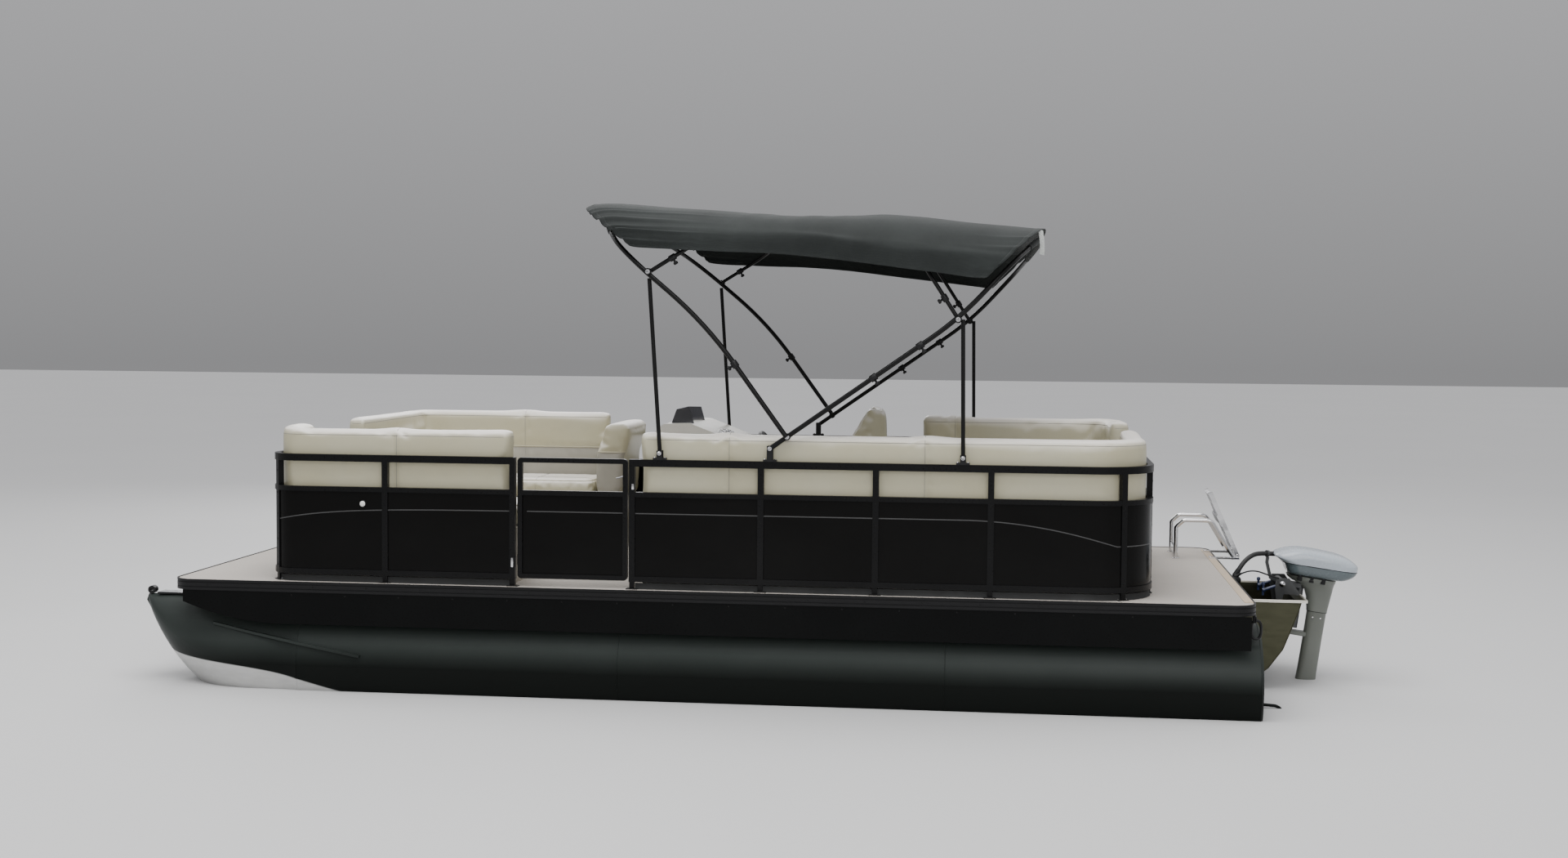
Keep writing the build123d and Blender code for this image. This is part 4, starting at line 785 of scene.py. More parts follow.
canopy = canopy_patch("canopy_sheet", (0, 1), (0, 1), canopy_rows, canopy_columns, 0.0, 0.003)
inner = (0.002, 0.998)
hems = [canopy_patch("canopy_hem_" + name, *values) for name, *values in (
    ("front", (0, 0.018), inner, 3, canopy_columns), ("aft", (0.982, 1), inner, 3, canopy_columns),
    ("port", inner, (0, 0.014), canopy_rows, 3), ("starboard", inner, (0.986, 1), canopy_rows, 3))]
strap_rows = []
for fall in [k / 12 for k in range(13)]:
    middle = canopy_point(0.998, 0.29) + Vector((-0.004 - 0.01 * math.sin(2.2 * fall), 0.004 * math.sin(5 * fall),
                                                 -0.128 * fall))
    strap_rows.append([middle + Vector((side * 0.012, side * 0.008, 0.002 * side * fall))
                       for side in (-1, -0.5, 0, 0.5, 1)])
hems.append(cloth_piece("canopy_strap_end", strap_rows, 0.0022, "strap_white", -1.0, False))
for part in [canopy] + hems:
    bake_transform(part)
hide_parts("bimini_canopy")
arch_length = line_length([canopy_point(0.5, j / 200) for j in range(201)])
side_length = line_length([canopy_point(i / 200, 0.5) for i in range(201)])

# Small parts that the CAD leaves to this script

deck_top = 0.595
fence_y = 1.225
post_half = 0.016
face_y = fence_y + post_half
panel_out = 0.0085
bow_line = 2.369
stern_line = -2.384
bow_corner = 0.15
stern_corner = 0.3
pontoon_y = 0.965
pontoon_z = 0.14


def finish(name, bm, look, body="hull"):
    """Turn a bmesh into a piece with its look, body and slot."""
    obj = from_bmesh(name, bm)
    obj.data.set_sharp_from_angle(angle=math.radians(38))
    obj.data.materials.append(looks[look])
    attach(obj, body)
    return obj


def piece(name, look, steps, body="hull"):
    """A piece of several shapes, each a function with what follows the bmesh."""
    bm = bmesh.new()
    for shape, *values in steps:
        shape(bm, *values)
    return finish(name, bm, look, body)


def mirrored(make):
    """Steps for both sides of the boat."""
    return [step for side in both for step in make(side)]


def sign(value):
    return 1 if value > 0 else -1


def corner_arc(side, end, angle, reach=0.0):
    """A place on the fence's corner, this angle round from the boat's side."""
    line, radius = (bow_line, bow_corner) if end > 0 else (stern_line, stern_corner)
    a = math.radians(angle)
    return ((line - end * radius) + end * (radius + reach) * math.sin(a),
            side * (fence_y - radius + (radius + reach) * math.cos(a)))


# Posts: x, y, turn
posts = [(x, side * fence_y, 0) for side in both for x in (1.005, 0.352, 1.713, -0.339, -0.947, -1.548)]
posts += [(bow_line, y, 90) for y in (0.824, 0.11, -0.7)]
posts += [(stern_line, y, 90) for y in (0.174, -0.48, 0.86, -0.86)]
for side in both:
    posts += [(*corner_arc(side, 1, 45), -side * 45), (*corner_arc(side, -1, 29), side * 29)]
spins = [Matrix.Translation((x, y, deck_top)) @ Matrix.Rotation(math.radians(angle), 4, "Z") for x, y, angle in posts]
piece("post_feet", "bow_black", [(bevel_box, (-0.032, -0.021, 0), (0.032, 0.021, 0.005), 0.0015, 1, spin)
                                 for spin in spins])
piece("post_foot_bolts", "stainless", [(heads, [spin @ Vector((a, 0, 0.005)) for a in (-0.024, 0.024)], up, 0.005,
                                        0.004) for spin in spins])

# Dark strips that fill the gap under the fixed panels as painted shadow, one each side of every gate
gap_section = ((-2, 0.001), (-1.2, 0.006), (-1, 0.034), (1, 0.034), (1.2, 0.006), (2, 0.001))
corners = {(side, end): [corner_arc(side, end, 6 * k) for k in range(16)] for side in both for end in both}
steps = []
for line in ([(0.335, fence_y)] + corners[1, -1] + [(stern_line, 0.19)],
             [(1.022, fence_y)] + corners[1, 1] + [(bow_line, 0.126)],
             [(bow_line, -0.716)] + corners[-1, 1][::-1] + corners[-1, -1] + [(stern_line, -0.496)]):
    rings = []
    for k, (x, y) in enumerate(line):
        before, after = line[max(k - 1, 0)], line[min(k + 1, len(line) - 1)]
        run = Vector((after[0] - before[0], after[1] - before[1], 0)).normalized() * 0.004
        rings.append([Vector((x - run.y * a, y + run.x * a, deck_top + z)) for a, z in gap_section])
    steps.append((skin, rings))
piece("fence_gap_shadow_strips", "seam_dark", steps)

# Rivets up the outer face of each post and along the mid rail
steps = []
for x, y, angle in posts:
    a = math.radians(abs(angle))
    out = Vector((sign(x) * math.sin(a), sign(y) * math.cos(a), 0))
    steps.append((heads, [Vector((x, y, deck_top + z)) + out * post_half for z in (0.085, 0.225, 0.365, 0.48, 0.6)],
                  out, 0.0042, 0.0022, 10))
piece("fence_rivets", "fence_black", steps + mirrored(lambda side: [
    (heads, [(x, side * face_y, deck_top + 0.507) for x in [-2.0 + 0.152 * k for k in range(28)]
             if side < 0 or not 0.34 < x < 1.02], (0, side, 0), 0.0036, 0.0018, 8)]))


def stripe_height(x):
    """Height of the thin line on the fence panels above the deck."""
    share = min(max((-1.4 - x) / 0.8, 0), 1)
    return 0.406 - 0.082 * math.exp((min(x, bow_line) - bow_line) / 0.3) - 0.125 * share * share


def stripe(name, places, body="hull"):
    """A thin raised line through places given as x, y and the way out."""
    bm = bmesh.new()
    rows = []
    for x, y, out in places:
        base = Vector((x, y, deck_top + stripe_height(x)))
        out = Vector((*out, 0)).normalized()
        rows.append([bm.verts.new(base + out * depth + up * rise)
                     for depth, rise in ((0, 0.003), (0.0012, 0.0022), (0.0012, -0.0022), (0, -0.003))])
    bridge(bm, rows, False)
    finish(name, bm, "stripe_grey", body)


def stripe_corner(side, end, angles):
    return [(*corner_arc(side, end, angle, panel_out), (end * math.sin(math.radians(angle)),
                                                        side * math.cos(math.radians(angle)))) for angle in angles]


for side, side_name in side_names:
    for index, (start, stop) in enumerate([(-2.084, 0.335), (1.022, 2.219)] if side > 0 else [(-2.084, 2.219)]):
        count = int((stop - start) / 0.04)
        line = [(start + (stop - start) * k / count, side * (fence_y + panel_out), (0, side))
                for k in range(count + 1)]
        if stop > 2.2:
            line += stripe_corner(side, 1, range(8, 92, 8))
        if start < -2.0:
            line = stripe_corner(side, -1, range(88, 0, -6)) + line
        stripe(f"stripe_{side_name}_{index}", line)
stripe("stripe_port_gate", [(0.404 + 0.0275 * k, fence_y + 0.0025, (0, 1)) for k in range(20)], "port_gate")

# Side lights
lens_profile = [(-0.003, 0.015), (0.003, 0.015), (0.007, 0.0125), (0.0095, 0.007), (0.0102, 0)]
for side, side_name in side_names:
    piece("side_light_lens_" + side_name, "light_lens",
          [(lathe, lens_profile, (1.835, side * (fence_y + panel_out + 0.0112), deck_top + 0.43), (0, side, 0), 28)])

# Gates: name, free end, hinge end, way out, hinge barrel
gates = [
    ("port", (0.376, fence_y), (0.977, fence_y), (0, 1), (0.975, 1.203)),
    ("bow", (bow_line, 0.8), (bow_line, 0.144), (1, 0), (2.347, 0.14)),
    ("stern", (stern_line, 0.15), (stern_line, -0.446), (-1, 0), (-2.362, -0.45)),
]
latch_lever = ((0.013, -0.03, 0.61), (0.013, -0.044, 0.612), (0.018, -0.05, 0.604), (0.06, -0.052, 0.59),
               (0.075, -0.052, 0.588))
hinge_cap = [(-0.039, 0), (-0.0385, 0.005), (-0.036, 0.0085), (-0.034, 0.0085)]
for name, free, hinge, out, barrel in gates:
    free, hinge, out = Vector((*free, deck_top)), Vector((*hinge, deck_top)), Vector((*out, 0))
    along = (hinge - free).normalized()
    at_free, at_hinge = axes(along, out, up, free), axes(along, out, up, hinge)
    # Latch case on the inside with its lever
    piece("gate_latch_" + name, "stainless", [
        (bevel_box, (0.003, -0.031, 0.575), (0.024, -0.013, 0.64), 0.003, 2, at_free),
        (bead, [at_free @ Vector(p) for p in latch_lever], 0.004),
        (heads, [at_free @ Vector((0.013, -0.031, z)) for z in (0.583, 0.632)], -out, 0.0035, 0.002, 8),
    ], name + "_gate")
    steps = [(heads, [at_free @ Vector((x, 0.013, z)) for z in (0.09, 0.27, 0.44)], out, 0.0036, 0.0018, 8)
             for x in (0.014, (hinge - free).length - 0.014)]
    for z in (0.14, 0.42):
        place = Vector((*barrel, deck_top + z))
        steps += [
            (lathe, hinge_cap, place, up, 12),
            (lathe, [(-along, radius) for along, radius in hinge_cap[::-1]], place, up, 12),
            (bevel_box, (-0.023, -0.0155, z - 0.024), (-0.003, -0.0128, z + 0.024), 0.001, 1, at_hinge),
            (heads, [at_hinge @ Vector((-0.014, -0.0155, z + a)) for a in (-0.015, 0, 0.015)], -out, 0.0028, 0.0014, 8),
        ]
    piece("gate_hinges_" + name, "bow_black", steps, name + "_gate")

# Keepers of the gates on their posts: low and high corner above the deck, rounding
keepers = [
    ((0.342, 1.203, 0.58), (0.362, 1.2095, 0.635), 0.0015),
    ((0.34, face_y, 0.535), (0.352, face_y + 0.006, 0.565), 0.002),
    ((0.998, face_y, 0.105), (1.01, face_y + 0.007, 0.155), 0.002),
    ((bow_line - 0.022, 0.812, 0.58), (bow_line - 0.0155, 0.836, 0.635), 0.0015),
    ((stern_line + 0.0155, 0.162, 0.58), (stern_line + 0.022, 0.186, 0.635), 0.0015),
]
piece("gate_keepers", "stainless", [(bevel_box, low, high, rounding, 2, Matrix.Translation((0, 0, deck_top)))
                                    for low, high, rounding in keepers])

# Deck edge: screws in the trim and skirts, and the pale strip along the aft edge
trim_x = [-2.7 + 0.3 * k for k in range(19)]
trim_y = [-1.05 + 0.35 * k for k in range(7)]
piece("trim_screws", "bow_black", mirrored(lambda side: [
    (heads, [(x, side * 1.295, 0.5705) for x in trim_x], (0, side, 0), 0.0045, 0.0022, 10),
    (heads, [(x + 0.12, side * 1.291, 0.525) for x in trim_x if x < 2.1], (0, side, 0), 0.004, 0.002, 10)]) + [
    (heads, [(2.9125, y, 0.5705) for y in trim_y], (1, 0, 0), 0.0045, 0.0022, 10),
    (heads, [(-2.9125, y, 0.5705) for y in trim_y[1:]], (-1, 0, 0), 0.0045, 0.0022, 10)])
piece("deck_aft_strip", "beige_strip", [
    (bevel_box, (-2.9035, -1.165, 0.5945), (-2.857, 1.165, 0.5976), 0.0012, 2),
    (heads, [(-2.88, -1.12 + 0.28 * k, 0.5974) for k in range(9)], up, 0.0042, 0.001, 10)])

# Bolts that hold the crossbeams to the pontoon risers: height, way, height of the head
piece("riser_bolts", "bare_aluminium", [
    (heads, [((index - 6.5) * 0.405 + 0.022, side * pontoon_y + edge * 0.112, z)
             for index in range(14) for side in both for edge in both], (0, 0, way), 0.0075, height)
    for z, way, height in ((0.495, -1, 0.006), (0.504, 1, 0.007))])


def weld_ring(x, y):
    """A slightly uneven ring round a pontoon."""
    ring = []
    for k, a in enumerate(circle(120)):
        radius = 0.33 + 0.0004 * math.sin(k * 2.4)
        ring.append((x + 0.0004 * math.sin(k * 3.3), y + radius * math.sin(a), pontoon_z + radius * math.cos(a)))
    return ring


# Pontoons: weld beads round the tube, nose plate treads and drain plugs
for side, side_name in side_names:
    y = side * pontoon_y
    piece("weld_beads_" + side_name, "pontoon_paint",
          [(bead, weld_ring(x, y), 0.0028, 6, True) for x in (-2.937, -1.32, 0.42, 2.2)])
    piece("drain_plug_" + side_name, "stainless",
          [(lathe, [(-0.002, 0.03), (0.004, 0.03), (0.006, 0.027), (0.006, 0.014), (0.016, 0.013), (0.018, 0.01),
                    (0.018, 0)], (-2.95, y, -0.115), (-1, 0, 0))])
    piece("nose_tread_" + side_name, "bare_aluminium",
          [(bevel_box, (2.928, y - 0.041, 0.4785), (3.112, y + 0.041, 0.4805), 0.0008, 1)]
          + [(bead, [(2.942 + 0.0195 * k, y - 0.034, 0.4808), (2.942 + 0.0195 * k, y + 0.034, 0.4808)], 0.0022)
             for k in range(9)])
    piece("nose_tread_screws_" + side_name, "stainless",
          [(heads, [(x, y + a, 0.4803) for x in (2.933, 3.107) for a in (-0.036, 0.036)], up, 0.0045, 0.0022, 10)])

# Folding top: slides with thumb knobs; body, tube radius, y, leg's start, leg's end, share along it, way of the knob
slides = [
    ("hull", 0.013, 1.225, (-0.386, 1.359), (-1.366, 2.045), 0.553, (-0.57, 0, -0.82)),
    ("hull", 0.013, 1.225, (-0.386, 1.359), (-1.366, 2.045), 0.8, (-0.57, 0, -0.82)),
    ("bimini_front", 0.013, 1.258, (-0.476, 1.422), (-0.044, 2.014), 0.64, (0.81, 0, -0.59)),
    ("bimini_second", 0.011, 1.223, (0.265, 2.284), (-0.25, 2.6), 0.24, (-0.52, 0, -0.85)),
    ("bimini_third", 0.011, 1.191, (-1.366, 2.045), (-1.006, 2.6), 0.2, (0.84, 0, -0.54)),
]
for index, (body, tube, y, start, stop, share, way) in enumerate(slides):
    sleeve_profile = [(-0.019, tube), (-0.019, tube + 0.004), (-0.016, tube + 0.006), (0.016, tube + 0.006),
                      (0.019, tube + 0.004), (0.019, tube)]
    knob_profile = [(tube + 0.004, 0.007), (tube + 0.015, 0.006), (tube + 0.016, 0.012), (tube + 0.026, 0.013),
                    (tube + 0.03, 0.01), (tube + 0.03, 0)]
    run = (stop[0] - start[0], 0, stop[1] - start[1])
    piece(f"top_slide_{index}", "black_plastic", [
        (lathe, profile, (start[0] + run[0] * share, side * y, start[1] + run[2] * share), axis, sides)
        for side in both for profile, axis, sides in ((sleeve_profile, run, 20), (knob_profile, way, 14))], body)

# Pivots: body, x, z, outer face, head's radius
pivots = [
    ("hull", -1.366, 2.045, 1.242, 0.01), ("hull", -0.476, 1.422, 1.24, 0.01),
    ("bimini_front", 0.265, 2.284, 1.274, 0.01), ("hull", -0.386, 1.359, 1.2475, 0.0085),
    ("hull", 0.204, 1.325, 1.2475, 0.0085), ("hull", -1.4, 1.325, 1.2475, 0.0085),
]
for index, (body, x, z, face, radius) in enumerate(pivots):
    piece(f"top_pivot_bolts_{index}", "stainless", mirrored(lambda side: [
        (heads, [(x, side * face, z)], (0, side, 0), radius, 0.006),
        (lathe, [(-0.001, radius + 0.003), (0.0012, radius + 0.003), (0.0012, 0)], (x, side * face, z), (0, side, 0),
         16)]), body)
piece("top_bracket_bolts", "stainless",
      [(heads, [(x + a, side * fence_y, 1.3) for x in (-0.386, 0.204, -1.4) for side in both
                for a in (-0.027, 0.027)], up, 0.005, 0.004)])

# Fabric pockets round the middle of each bow, with a seam below: bow, body, tube radius, reach to each side
for bow, body, tube, reach in (("front", "bimini_front", 0.013, 0.88), ("second", "bimini_second", 0.011, 0.8),
                               ("third", "bimini_third", 0.011, 0.8), ("rear", "hull", 0.013, 0.84)):
    line = []
    for k in range(61):
        y = -reach + 2 * reach * k / 60
        loops = seam_loops(nodes[f"bimini_{bow}_bow"], (0, y, 0), (0, 1, 0))
        if loops:
            points = max(loops, key=lambda found: max(p.z for p in found[0]))[0]
            xs, zs = [p.x for p in points], [p.z for p in points]
            line.append(Vector(((min(xs) + max(xs)) / 2, y, (min(zs) + max(zs)) / 2)))
    piece("sleeve_" + bow, "canopy_fabric", [(bead, line, tube + 0.0035, 14)], body)
    piece(f"sleeve_{bow}_seam", "seam_dark", [(bead, [p - up * (tube + 0.0035) for p in line], 0.0022, 6)], body)

# Outboard motor, in its own trimmed frame
motor_frame = Matrix.Translation(tilt_pin) @ Matrix.Rotation(-trim, 4, "Y")
motor_up = motor_frame.to_3x3() @ up
motor_aft = motor_frame.to_3x3() @ Vector((-1, 0, 0))


def motor_at(x, y, z):
    return motor_frame @ Vector((x, y, z))


def oval(front, aft, width, z, square=0.8):
    """A level ring in the motor's frame, between round and square."""
    middle, half = (front + aft) / 2, (front - aft) / 2
    return [motor_at(middle + half * squared(math.cos(a), square), width / 2 * squared(math.sin(a), square), z)
            for a in circle(40)]


def slab(front, aft, width, low, high, edge, square):
    """Rings of a flat form with its edges broken."""
    return [oval(front - inset, aft + inset, width - 2 * inset, z, square) for inset, z in (
        (edge, low), (0, low + 0.003), (0, high - 0.003), (edge, high))]


# Leg from the pan down to the gear case: height, front, aft, width
leg_rings = [
    (0.058, -0.036, -0.306, 0.21), (0.054, -0.03, -0.31, 0.218), (0.04, -0.038, -0.308, 0.206),
    (0.026, -0.058, -0.304, 0.184), (0.012, -0.1, -0.302, 0.15), (-0.02, -0.142, -0.3, 0.124),
    (-0.06, -0.16, -0.296, 0.11), (-0.13, -0.174, -0.29, 0.098), (-0.136, -0.174, -0.29, 0.098),
    (-0.14, -0.178, -0.287, 0.092), (-0.3, -0.179, -0.286, 0.088), (-0.48, -0.178, -0.287, 0.085),
    (-0.64, -0.172, -0.292, 0.08), (-0.74, -0.158, -0.303, 0.072), (-0.8, -0.138, -0.31, 0.062),
    (-0.85, -0.118, -0.316, 0.048), (-0.88, -0.108, -0.318, 0.04),
]
gear_case = [(0, 0), (0.006, 0.012), (0.024, 0.024), (0.06, 0.036), (0.11, 0.045), (0.16, 0.048), (0.24, 0.045),
             (0.3, 0.04), (0.335, 0.034)]
# Skeg: height, front, aft, half thickness; and its section as shares of both
skeg = ((-0.915, -0.15, -0.314, 0.0055), (-0.985, -0.196, -0.322, 0.0045), (-1.046, -0.242, -0.33, 0.0035),
        (-1.06, -0.254, -0.32, 0.002))
skeg_section = ((0, 0), (0.2, 0.8), (0.5, 1), (0.8, 0.7), (1, 0), (0.8, -0.7), (0.5, -1), (0.2, -0.8))
leg = piece("leg", "motor_grey", [
    (skin, [oval(front, aft, width, z, 0.72) for z, front, aft, width in leg_rings]),
    (lathe, gear_case, motor_at(-0.06, 0, -0.9), motor_aft, 36),
    (skin, slab(-0.105, -0.435, 0.21, -0.757, -0.748, 0.004, 0.55)),
    (skin, slab(-0.078, -0.235, 0.066, 0.024, 0.05, 0.003, 0.6)),
    (skin, slab(-0.078, -0.235, 0.066, -0.29, -0.264, 0.003, 0.6)),
    (skin, [[motor_at(front + (aft - front) * a, half * b, z) for a, b in skeg_section]
            for z, front, aft, half in skeg]),
], "motor")
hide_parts("motor_leg")

# Cowl: closed outline seen from the side, drawn in towards both sides
outline = [(-0.002, 0.118), (0.04, 0.138), (0.066, 0.153), (0.03, 0.182), (-0.062, 0.214), (-0.21, 0.213),
           (-0.335, 0.202), (-0.408, 0.163), (-0.413, 0.138), (-0.405, 0.098), (-0.35, 0.064), (-0.3, 0.058),
           (-0.15, 0.06), (-0.04, 0.06), (-0.022, 0.072)]
for step in range(3):
    outline = [(x0 * a + x1 * (1 - a), z0 * a + z1 * (1 - a))
               for (x0, z0), (x1, z1) in zip(outline, outline[1:] + outline[:1]) for a in (0.75, 0.25)]
cowl_half = 0.146
cowl_power = 4.5
rings = []
for k in range(25):
    y = cowl_half * math.sin(math.radians(-86 + 172 * k / 24))
    size = (1 - abs(y / cowl_half) ** cowl_power) ** (1 / cowl_power)
    rings.append([motor_at(-0.16 + (x + 0.16) * size, y, 0.12 + (z - 0.12) * (0.1 + 0.9 * size))
                  for x, z in outline])
cowl = piece("cowl", "motor_white", [(skin, rings)], "motor")
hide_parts("motor_cowl")


def line_round(obj, height, spacing, radius):
    """Steps for a bead round a piece of the motor at this height."""
    return [(bead, thinned(line, normals, closed, spacing)[0], radius, 6, closed)
            for line, normals, closed in seam_loops(obj, motor_at(0, 0, height), motor_up)]


def motor_box(x, y, z, half_x, half_y, half_z, rounding=0.003, segments=2):
    return (bevel_box, (x - half_x, y - half_y, z - half_z), (x + half_x, y + half_y, z + half_z), rounding,
            segments, motor_frame)


piece("cowl_gasket", "black_plastic", line_round(cowl, 0.124, 0.008, 0.0026), "motor")
piece("cowl_latches", "black_plastic", [
    motor_box(x, side * y, *sizes) for side in both for x in (-0.095, -0.16, -0.225)
    for y, *sizes in ((0.094, 0.045, 0.013, 0.01, 0.015), (0.105, 0.058, 0.009, 0.004, 0.014, 0.002))],
    "motor")

# Joint line, water inlets, bolts and anode of the leg, and the propeller's nut
piece("leg_joint_line", "black_plastic", line_round(leg, -0.138, 0.006, 0.0018) + [
    motor_box(-0.229 + 0.014 * k, side * 0.024, -0.825, 0.003, 0.005, 0.013, 0.001, 1)
    for side in both for k in range(5)], "motor")
piece("leg_fasteners", "stainless", [
    (heads, [motor_at(x, side * out, z) for x in (-0.208, -0.252)], (0, side, 0), 0.006, 0.006)
    for side in both for out, z in ((0.0455, -0.17), (0.0395, -0.62))]
    + [motor_box(-0.365, 0, -0.763, 0.03, 0.028, 0.006)], "motor")
piece("prop_nut", "stainless", [
    (lathe, [(0.082, 0.028), (0.087, 0.024), (0.089, 0.014), (0.106, 0.013), (0.112, 0.009), (0.112, 0)],
     motor_at(-0.408, 0, -0.9), motor_aft, 6)], "prop")

# Clamp screws with their handles, and the bracket's bolts
screw_profile = [(0, 0.009), (0.06, 0.009), (0.062, 0.014), (0.074, 0.014), (0.076, 0.01), (0.076, 0)]
knob_profile = [(-0.008, 0), (-0.006, 0.01), (0.006, 0.011), (0.012, 0.007), (0.012, 0)]
piece("clamp_screws", "post_blue", mirrored(lambda side: [
    (lathe, screw_profile, (-3.154, side * 0.105, 0.545), (0.94, 0, -0.34), 14),
    (bead, [(-3.086, side * 0.105, z) for z in (0.492, 0.552)], 0.007, 10),
    (lathe, knob_profile, (-3.086, side * 0.105, 0.556), up, 12)]))
piece("clamp_bolts", "stainless", mirrored(lambda side: [
    (heads, [(tilt_pin.x, side * 0.118, tilt_pin.z)], (0, side, 0), 0.017, 0.009),
    (heads, [(-3.248, side * 0.113, 0.47), (-3.243, side * 0.113, 0.42)], (0, side, 0), 0.008, 0.006)]))

# Motor pod: rim painted bright as a painted highlight along its flange, and weld beads along its side edges
pod_aft = -3.262
pod_line = [(pod_aft + along, z) for along, z in ((0.932, 0.5), (0.782, 0.26), (0.502, 0.07), (0.272, 0.045),
                                                  (0.174, 0.121), (0.097, 0.226), (0.026, 0.411), (0, 0.494))]
welds, rims = [], []
for side in both:
    line = []
    for (x0, z0), (x1, z1) in zip(pod_line, pod_line[1:]):
        count = max(2, int(math.hypot(x1 - x0, z1 - z0) / 0.02))
        line += [(x0 + (x1 - x0) * k / count, side * 0.3745, z0 + (z1 - z0) * k / count) for k in range(count)]
    welds.append((bead, line + [(pod_line[-1][0], side * 0.3745, pod_line[-1][1])], 0.003, 6))
    for x0, x1, y, half in ((pod_aft - 0.0265, -2.922, side * 0.3965, 0.0045),
                            (pod_aft - 0.0295, pod_aft - 0.0205, side * 0.268, 0.132)):
        rims.append((bevel_box, (x0, y - half, 0.4925), (x1, y + half, 0.508), 0.0015, 2))
piece("pod_welds", "pod_metal", welds)
piece("pod_rim", "rim_cream", rims)

# Side light bases, corner rings and the boot of the hose and cable, in place of the CAD's fittings
steps = []
for side in both:
    steps.append((lathe, [(-0.001, 0.021), (0.002, 0.021), (0.0115, 0.017), (0.0115, 0)],
                  (1.835, side * (fence_y + panel_out), deck_top + 0.43), (0, side, 0), 28))
    a = math.radians(20)
    out = Vector((-math.cos(a), side * math.sin(a), 0))
    top = Vector((-2.7925, side * 1.175, 0.541)) + out * 0.115
    steps.append((bevel_box, (-0.014, -0.006, -0.04), (0.014, 0.008, 0), 0.002, 2,
                  axes(Vector((out.y, -out.x, 0)), out, up, top)))
    # Eye and ring: centre, half width along x and y, half height, radius of the bar
    for x, z, half_x, half_y, half_z, radius in ((-0.009, -0.024, 0, 0.009, 0.012, 0.0045),
                                                 (-0.011, -0.076, 0.025, 0, 0.047, 0.0075)):
        ring = []
        for a in circle(48):
            wide = squared(math.cos(a), 0.75)
            ring.append(top + Vector((x + half_x * wide, half_y * wide, z + half_z * squared(math.sin(a), 0.8))))
        steps.append((bead, ring, radius, 10, True))
steps.append((skin, [[Vector((-2.9125 + along, 0.113 + half_y * squared(math.cos(a), 0.4),
                              0.579 + half_z * squared(math.sin(a), 0.4))) for a in circle(40, 0.5)]
                     for along, half_y, half_z in ((0, 0.05, 0.02), (-0.036, 0.045, 0.0155),
                                                   (-0.042, 0.042, 0.0125), (-0.044, 0.038, 0.009))]))
for line, radius in ((hose_line, hose_diameter / 2), (cable_line, cable_diameter / 2)):
    profile = [(-0.01, radius + 0.006)]
    for k in range(5):
        profile += [(0.002 + 0.006 * k, radius + 0.0055 - 0.0008 * k),
                    (0.005 + 0.006 * k, radius + 0.0038 - 0.0007 * k)]
    steps.append((lathe, profile + [(0.034, radius + 0.0008)], line[0], (line[1] - line[0]).normalized()))
fittings = piece("deck_rings_and_boot", "black_plastic", steps)
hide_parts("deck_fittings")

# Helm: wheel grip and cap, gauges, switches, throttle grip and hatch
wheel_centre = Vector((-0.165, -0.72, 1.185))
wheel_axis = Vector((-math.cos(math.radians(32)), 0, math.sin(math.radians(32))))
wheel_side = Vector((0, 1, 0))
wheel_up = wheel_axis.cross(wheel_side)


def on_wheel(angle, radius):
    """A place on the wheel, this angle round from the port side."""
    a = math.radians(angle)
    return wheel_centre + (wheel_side * math.cos(a) + wheel_up * math.sin(a)) * radius


piece("wheel_grips", "grip_leather", [(bead, [on_wheel(start + 7 * k, 0.165) for k in range(13)], 0.0168, 14)
                                      for start in (100, 220, 340)], "wheel")
piece("wheel_cap", "stainless", [
    (lathe, [(0.011, 0.03), (0.015, 0.029), (0.018, 0.024), (0.0195, 0.012), (0.02, 0)], wheel_centre, wheel_axis,
     28)] + [(heads, [on_wheel(angle, r) for r in (0.06, 0.13)], wheel_axis, 0.004, 0.003, 8)
             for angle in (90, 210, 330)], "wheel")

# Gauges: y and radius, with a needle and eleven marks each
dash = Vector((-0.3534, 0, 0.9355))
across = dash.cross(wheel_side).normalized()
bezels, dials, marks = [], [], []
for y, radius in ((-0.865, 0.032), (-0.775, 0.042), (-0.665, 0.042), (-0.575, 0.032)):
    base = Vector((0.15, y, deck_top + 0.734))
    bezels.append((lathe, [(-0.002, radius), (0.005, radius), (0.006, radius - 0.003), (0.003, radius - 0.004)], base,
                   dash, 32))
    dials.append((lathe, [(0.0, radius - 0.0042), (0.003, radius - 0.0042), (0.003, 0)], base, dash, 32))
    for angle, height, inner, outer, width, sides in (
            [(-220 + 26 * k, 0.0032, radius - 0.013, radius - 0.007, 0.0007, 4) for k in range(11)]
            + [(140, 0.004, 0, radius - 0.014, 0.001, 6)]):
        a = math.radians(angle)
        way = wheel_side * math.cos(a) - across * math.sin(a)
        marks.append((bead, [base + dash * height + way * r for r in (inner, outer)], width, sides))
for name, look, steps in (("bezels", "stainless", bezels), ("dials", "black_plastic", dials),
                          ("marks", "light_lens", marks)):
    piece("gauge_" + name, look, steps)
face = Vector((-0.7593, 0, 0.6508))
panel_up = Vector((0.6508, 0, 0.7593))
steps = []
for k in range(6):
    at_switch = axes(wheel_side, panel_up, face, (0.03, -1.06 + 0.034 * k, deck_top + 0.665))
    steps += [(bevel_box, (-0.011, -0.018, -0.002), (0.011, 0.018, 0.005), 0.0015, 2, at_switch),
              (bevel_box, (-0.008, -0.014, 0.004), (0.008, 0.003, 0.009), 0.0015, 2, at_switch)]
piece("console_switches", "black_plastic", steps)
piece("throttle_grip", "grip_leather", [
    (lathe, [(0, 0.009), (0.004, 0.013), (0.03, 0.0145), (0.052, 0.014), (0.062, 0.01), (0.066, 0)],
     (0.12, -0.364, deck_top + 0.66), up, 20)])
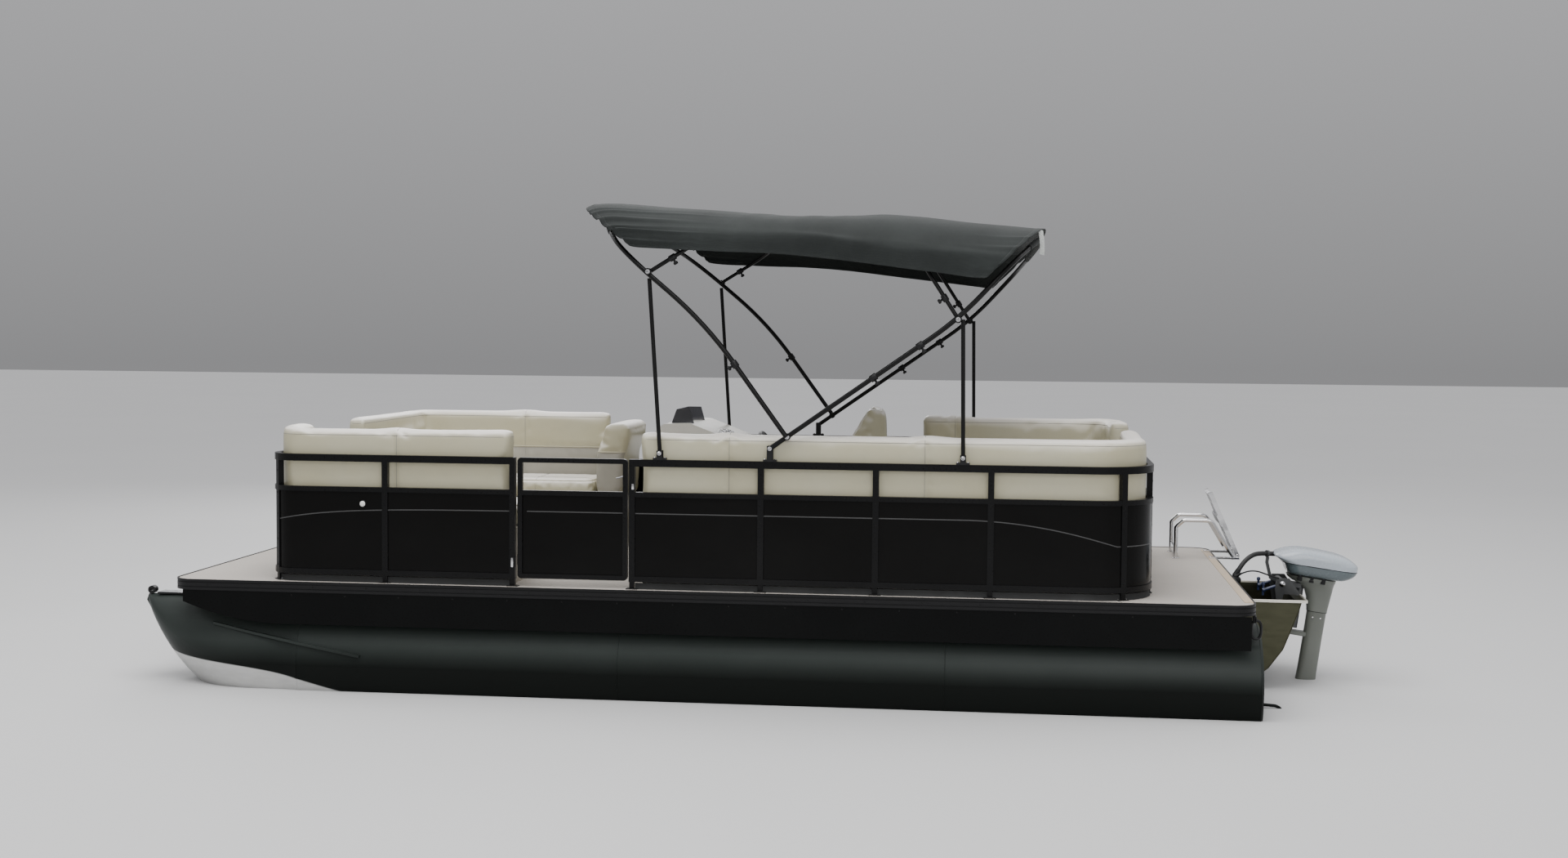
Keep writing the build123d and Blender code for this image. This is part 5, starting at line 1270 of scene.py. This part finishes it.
hatch = ((-0.98, 0.08), (-0.56, 0.08), (-0.545, 0.095), (-0.545, 0.405), (-0.56, 0.42), (-0.98, 0.42),
         (-0.995, 0.405), (-0.995, 0.095))
piece("console_hatch_trim", "console_plastic", [
    (bead, [(0.0585, y, deck_top + z) for y, z in hatch], 0.004, 8, True),
    (lathe, [(0, 0.018), (0.004, 0.018), (0.006, 0.014), (0.006, 0)], (0.06, -0.585, deck_top + 0.25), (-1, 0, 0))])

# Chair foot bolts, ladder treads and hinge bolts, bolts of the hand hoops
piece("pedestal_bolts", "stainless", [
    (heads, [(-0.62 + 0.122 * math.cos(a), -0.7 + 0.122 * math.sin(a), deck_top + 0.017) for a in circle(6)], up,
     0.008, 0.006)])
lean = Vector((math.cos(math.radians(66.5)), 0, math.sin(math.radians(66.5))))
ladder_out = Vector((lean.z, 0, -lean.x))


def ladder_at(y, along, depth):
    return Vector((-3.035, y - 0.875, 0.615)) + lean * along + ladder_out * depth


def tread_lines(half, start, depth, radius):
    """Steps for five ridges across a tread."""
    return [(bead, [ladder_at(y, start + 0.011 * k, depth) for y in (-half, half)], radius, 6) for k in range(5)]


piece("ladder_upper_treads", "black_plastic", tread_lines(0.14, 0.223, 0.0222, 0.0018), "ladder")
piece("ladder_lower_treads", "black_plastic", [
    line for start in (0.138, 0.354) for depth in (0.0102, -0.0102)
    for line in tread_lines(0.084, start, depth, 0.0016)], "ladder_slide")
piece("ladder_hinge_bolts", "stainless",
      [(heads, [ladder_at(side * 0.148, 0, 0)], (0, side, 0), 0.011, 0.006) for side in both], "ladder")
steps = []
for y in (-0.7, -1.05):
    steps += [(heads, [(x, y + side * 0.017, deck_top + 0.013) for x in (-3.03, -2.99, -2.95, -2.87)
                       for side in both], up, 0.0045, 0.003),
              (lathe, [(0, 0.024), (0.004, 0.024), (0.006, 0.02), (0.006, 0.014)], (-2.659, y, deck_top), up)]
piece("handrail_bolts", "stainless", steps)

# Floor on the waterline, backdrop and lights

floor_mesh = bpy.data.meshes.new("floor")
floor_mesh.from_pydata([(-60, -60, 0), (60, -60, 0), (60, 60, 0), (-60, 60, 0)], [], [(0, 1, 2, 3)])
floor = add_object("floor", floor_mesh)
floor_mesh.materials.append(looks["floor"])

world = bpy.data.worlds.new("sky")
bpy.context.scene.world = world
world.use_nodes = True
sky = world.node_tree
background = sky.nodes["Background"]
background.inputs["Color"].default_value = (0.8, 0.8, 0.82, 1)
way = sky.nodes.new("ShaderNodeTexCoord")
parts = sky.nodes.new("ShaderNodeSeparateXYZ")
rise = sky.nodes.new("ShaderNodeMapRange")
sky.links.new(way.outputs["Generated"], parts.inputs[0])
sky.links.new(parts.outputs[2], rise.inputs["Value"])
for socket, value in (("From Min", -0.02), ("From Max", 0.75), ("To Min", 0.34), ("To Max", 1.25)):
    rise.inputs[socket].default_value = value
sky.links.new(rise.outputs[0], background.inputs["Strength"])


def area_light(name, place, aim, size, power):
    """A soft square light pointed at a place."""
    data = bpy.data.lights.new(name, "AREA")
    data.size = size
    data.energy = power
    light = add_object(name, data)
    light.location = place
    light.rotation_mode = "QUATERNION"
    light.rotation_quaternion = (Vector(aim) - Vector(place)).to_track_quat("-Z", "Y")


area_light("overhead", (0.5, 2.0, 9.0), (0, 0, 0.5), 8, 900)
area_light("port_fill", (-4, 12, 6), (0, 0, 1), 6, 350)
area_light("starboard_fill", (3, -10, 6), (0, 0, 1), 6, 350)
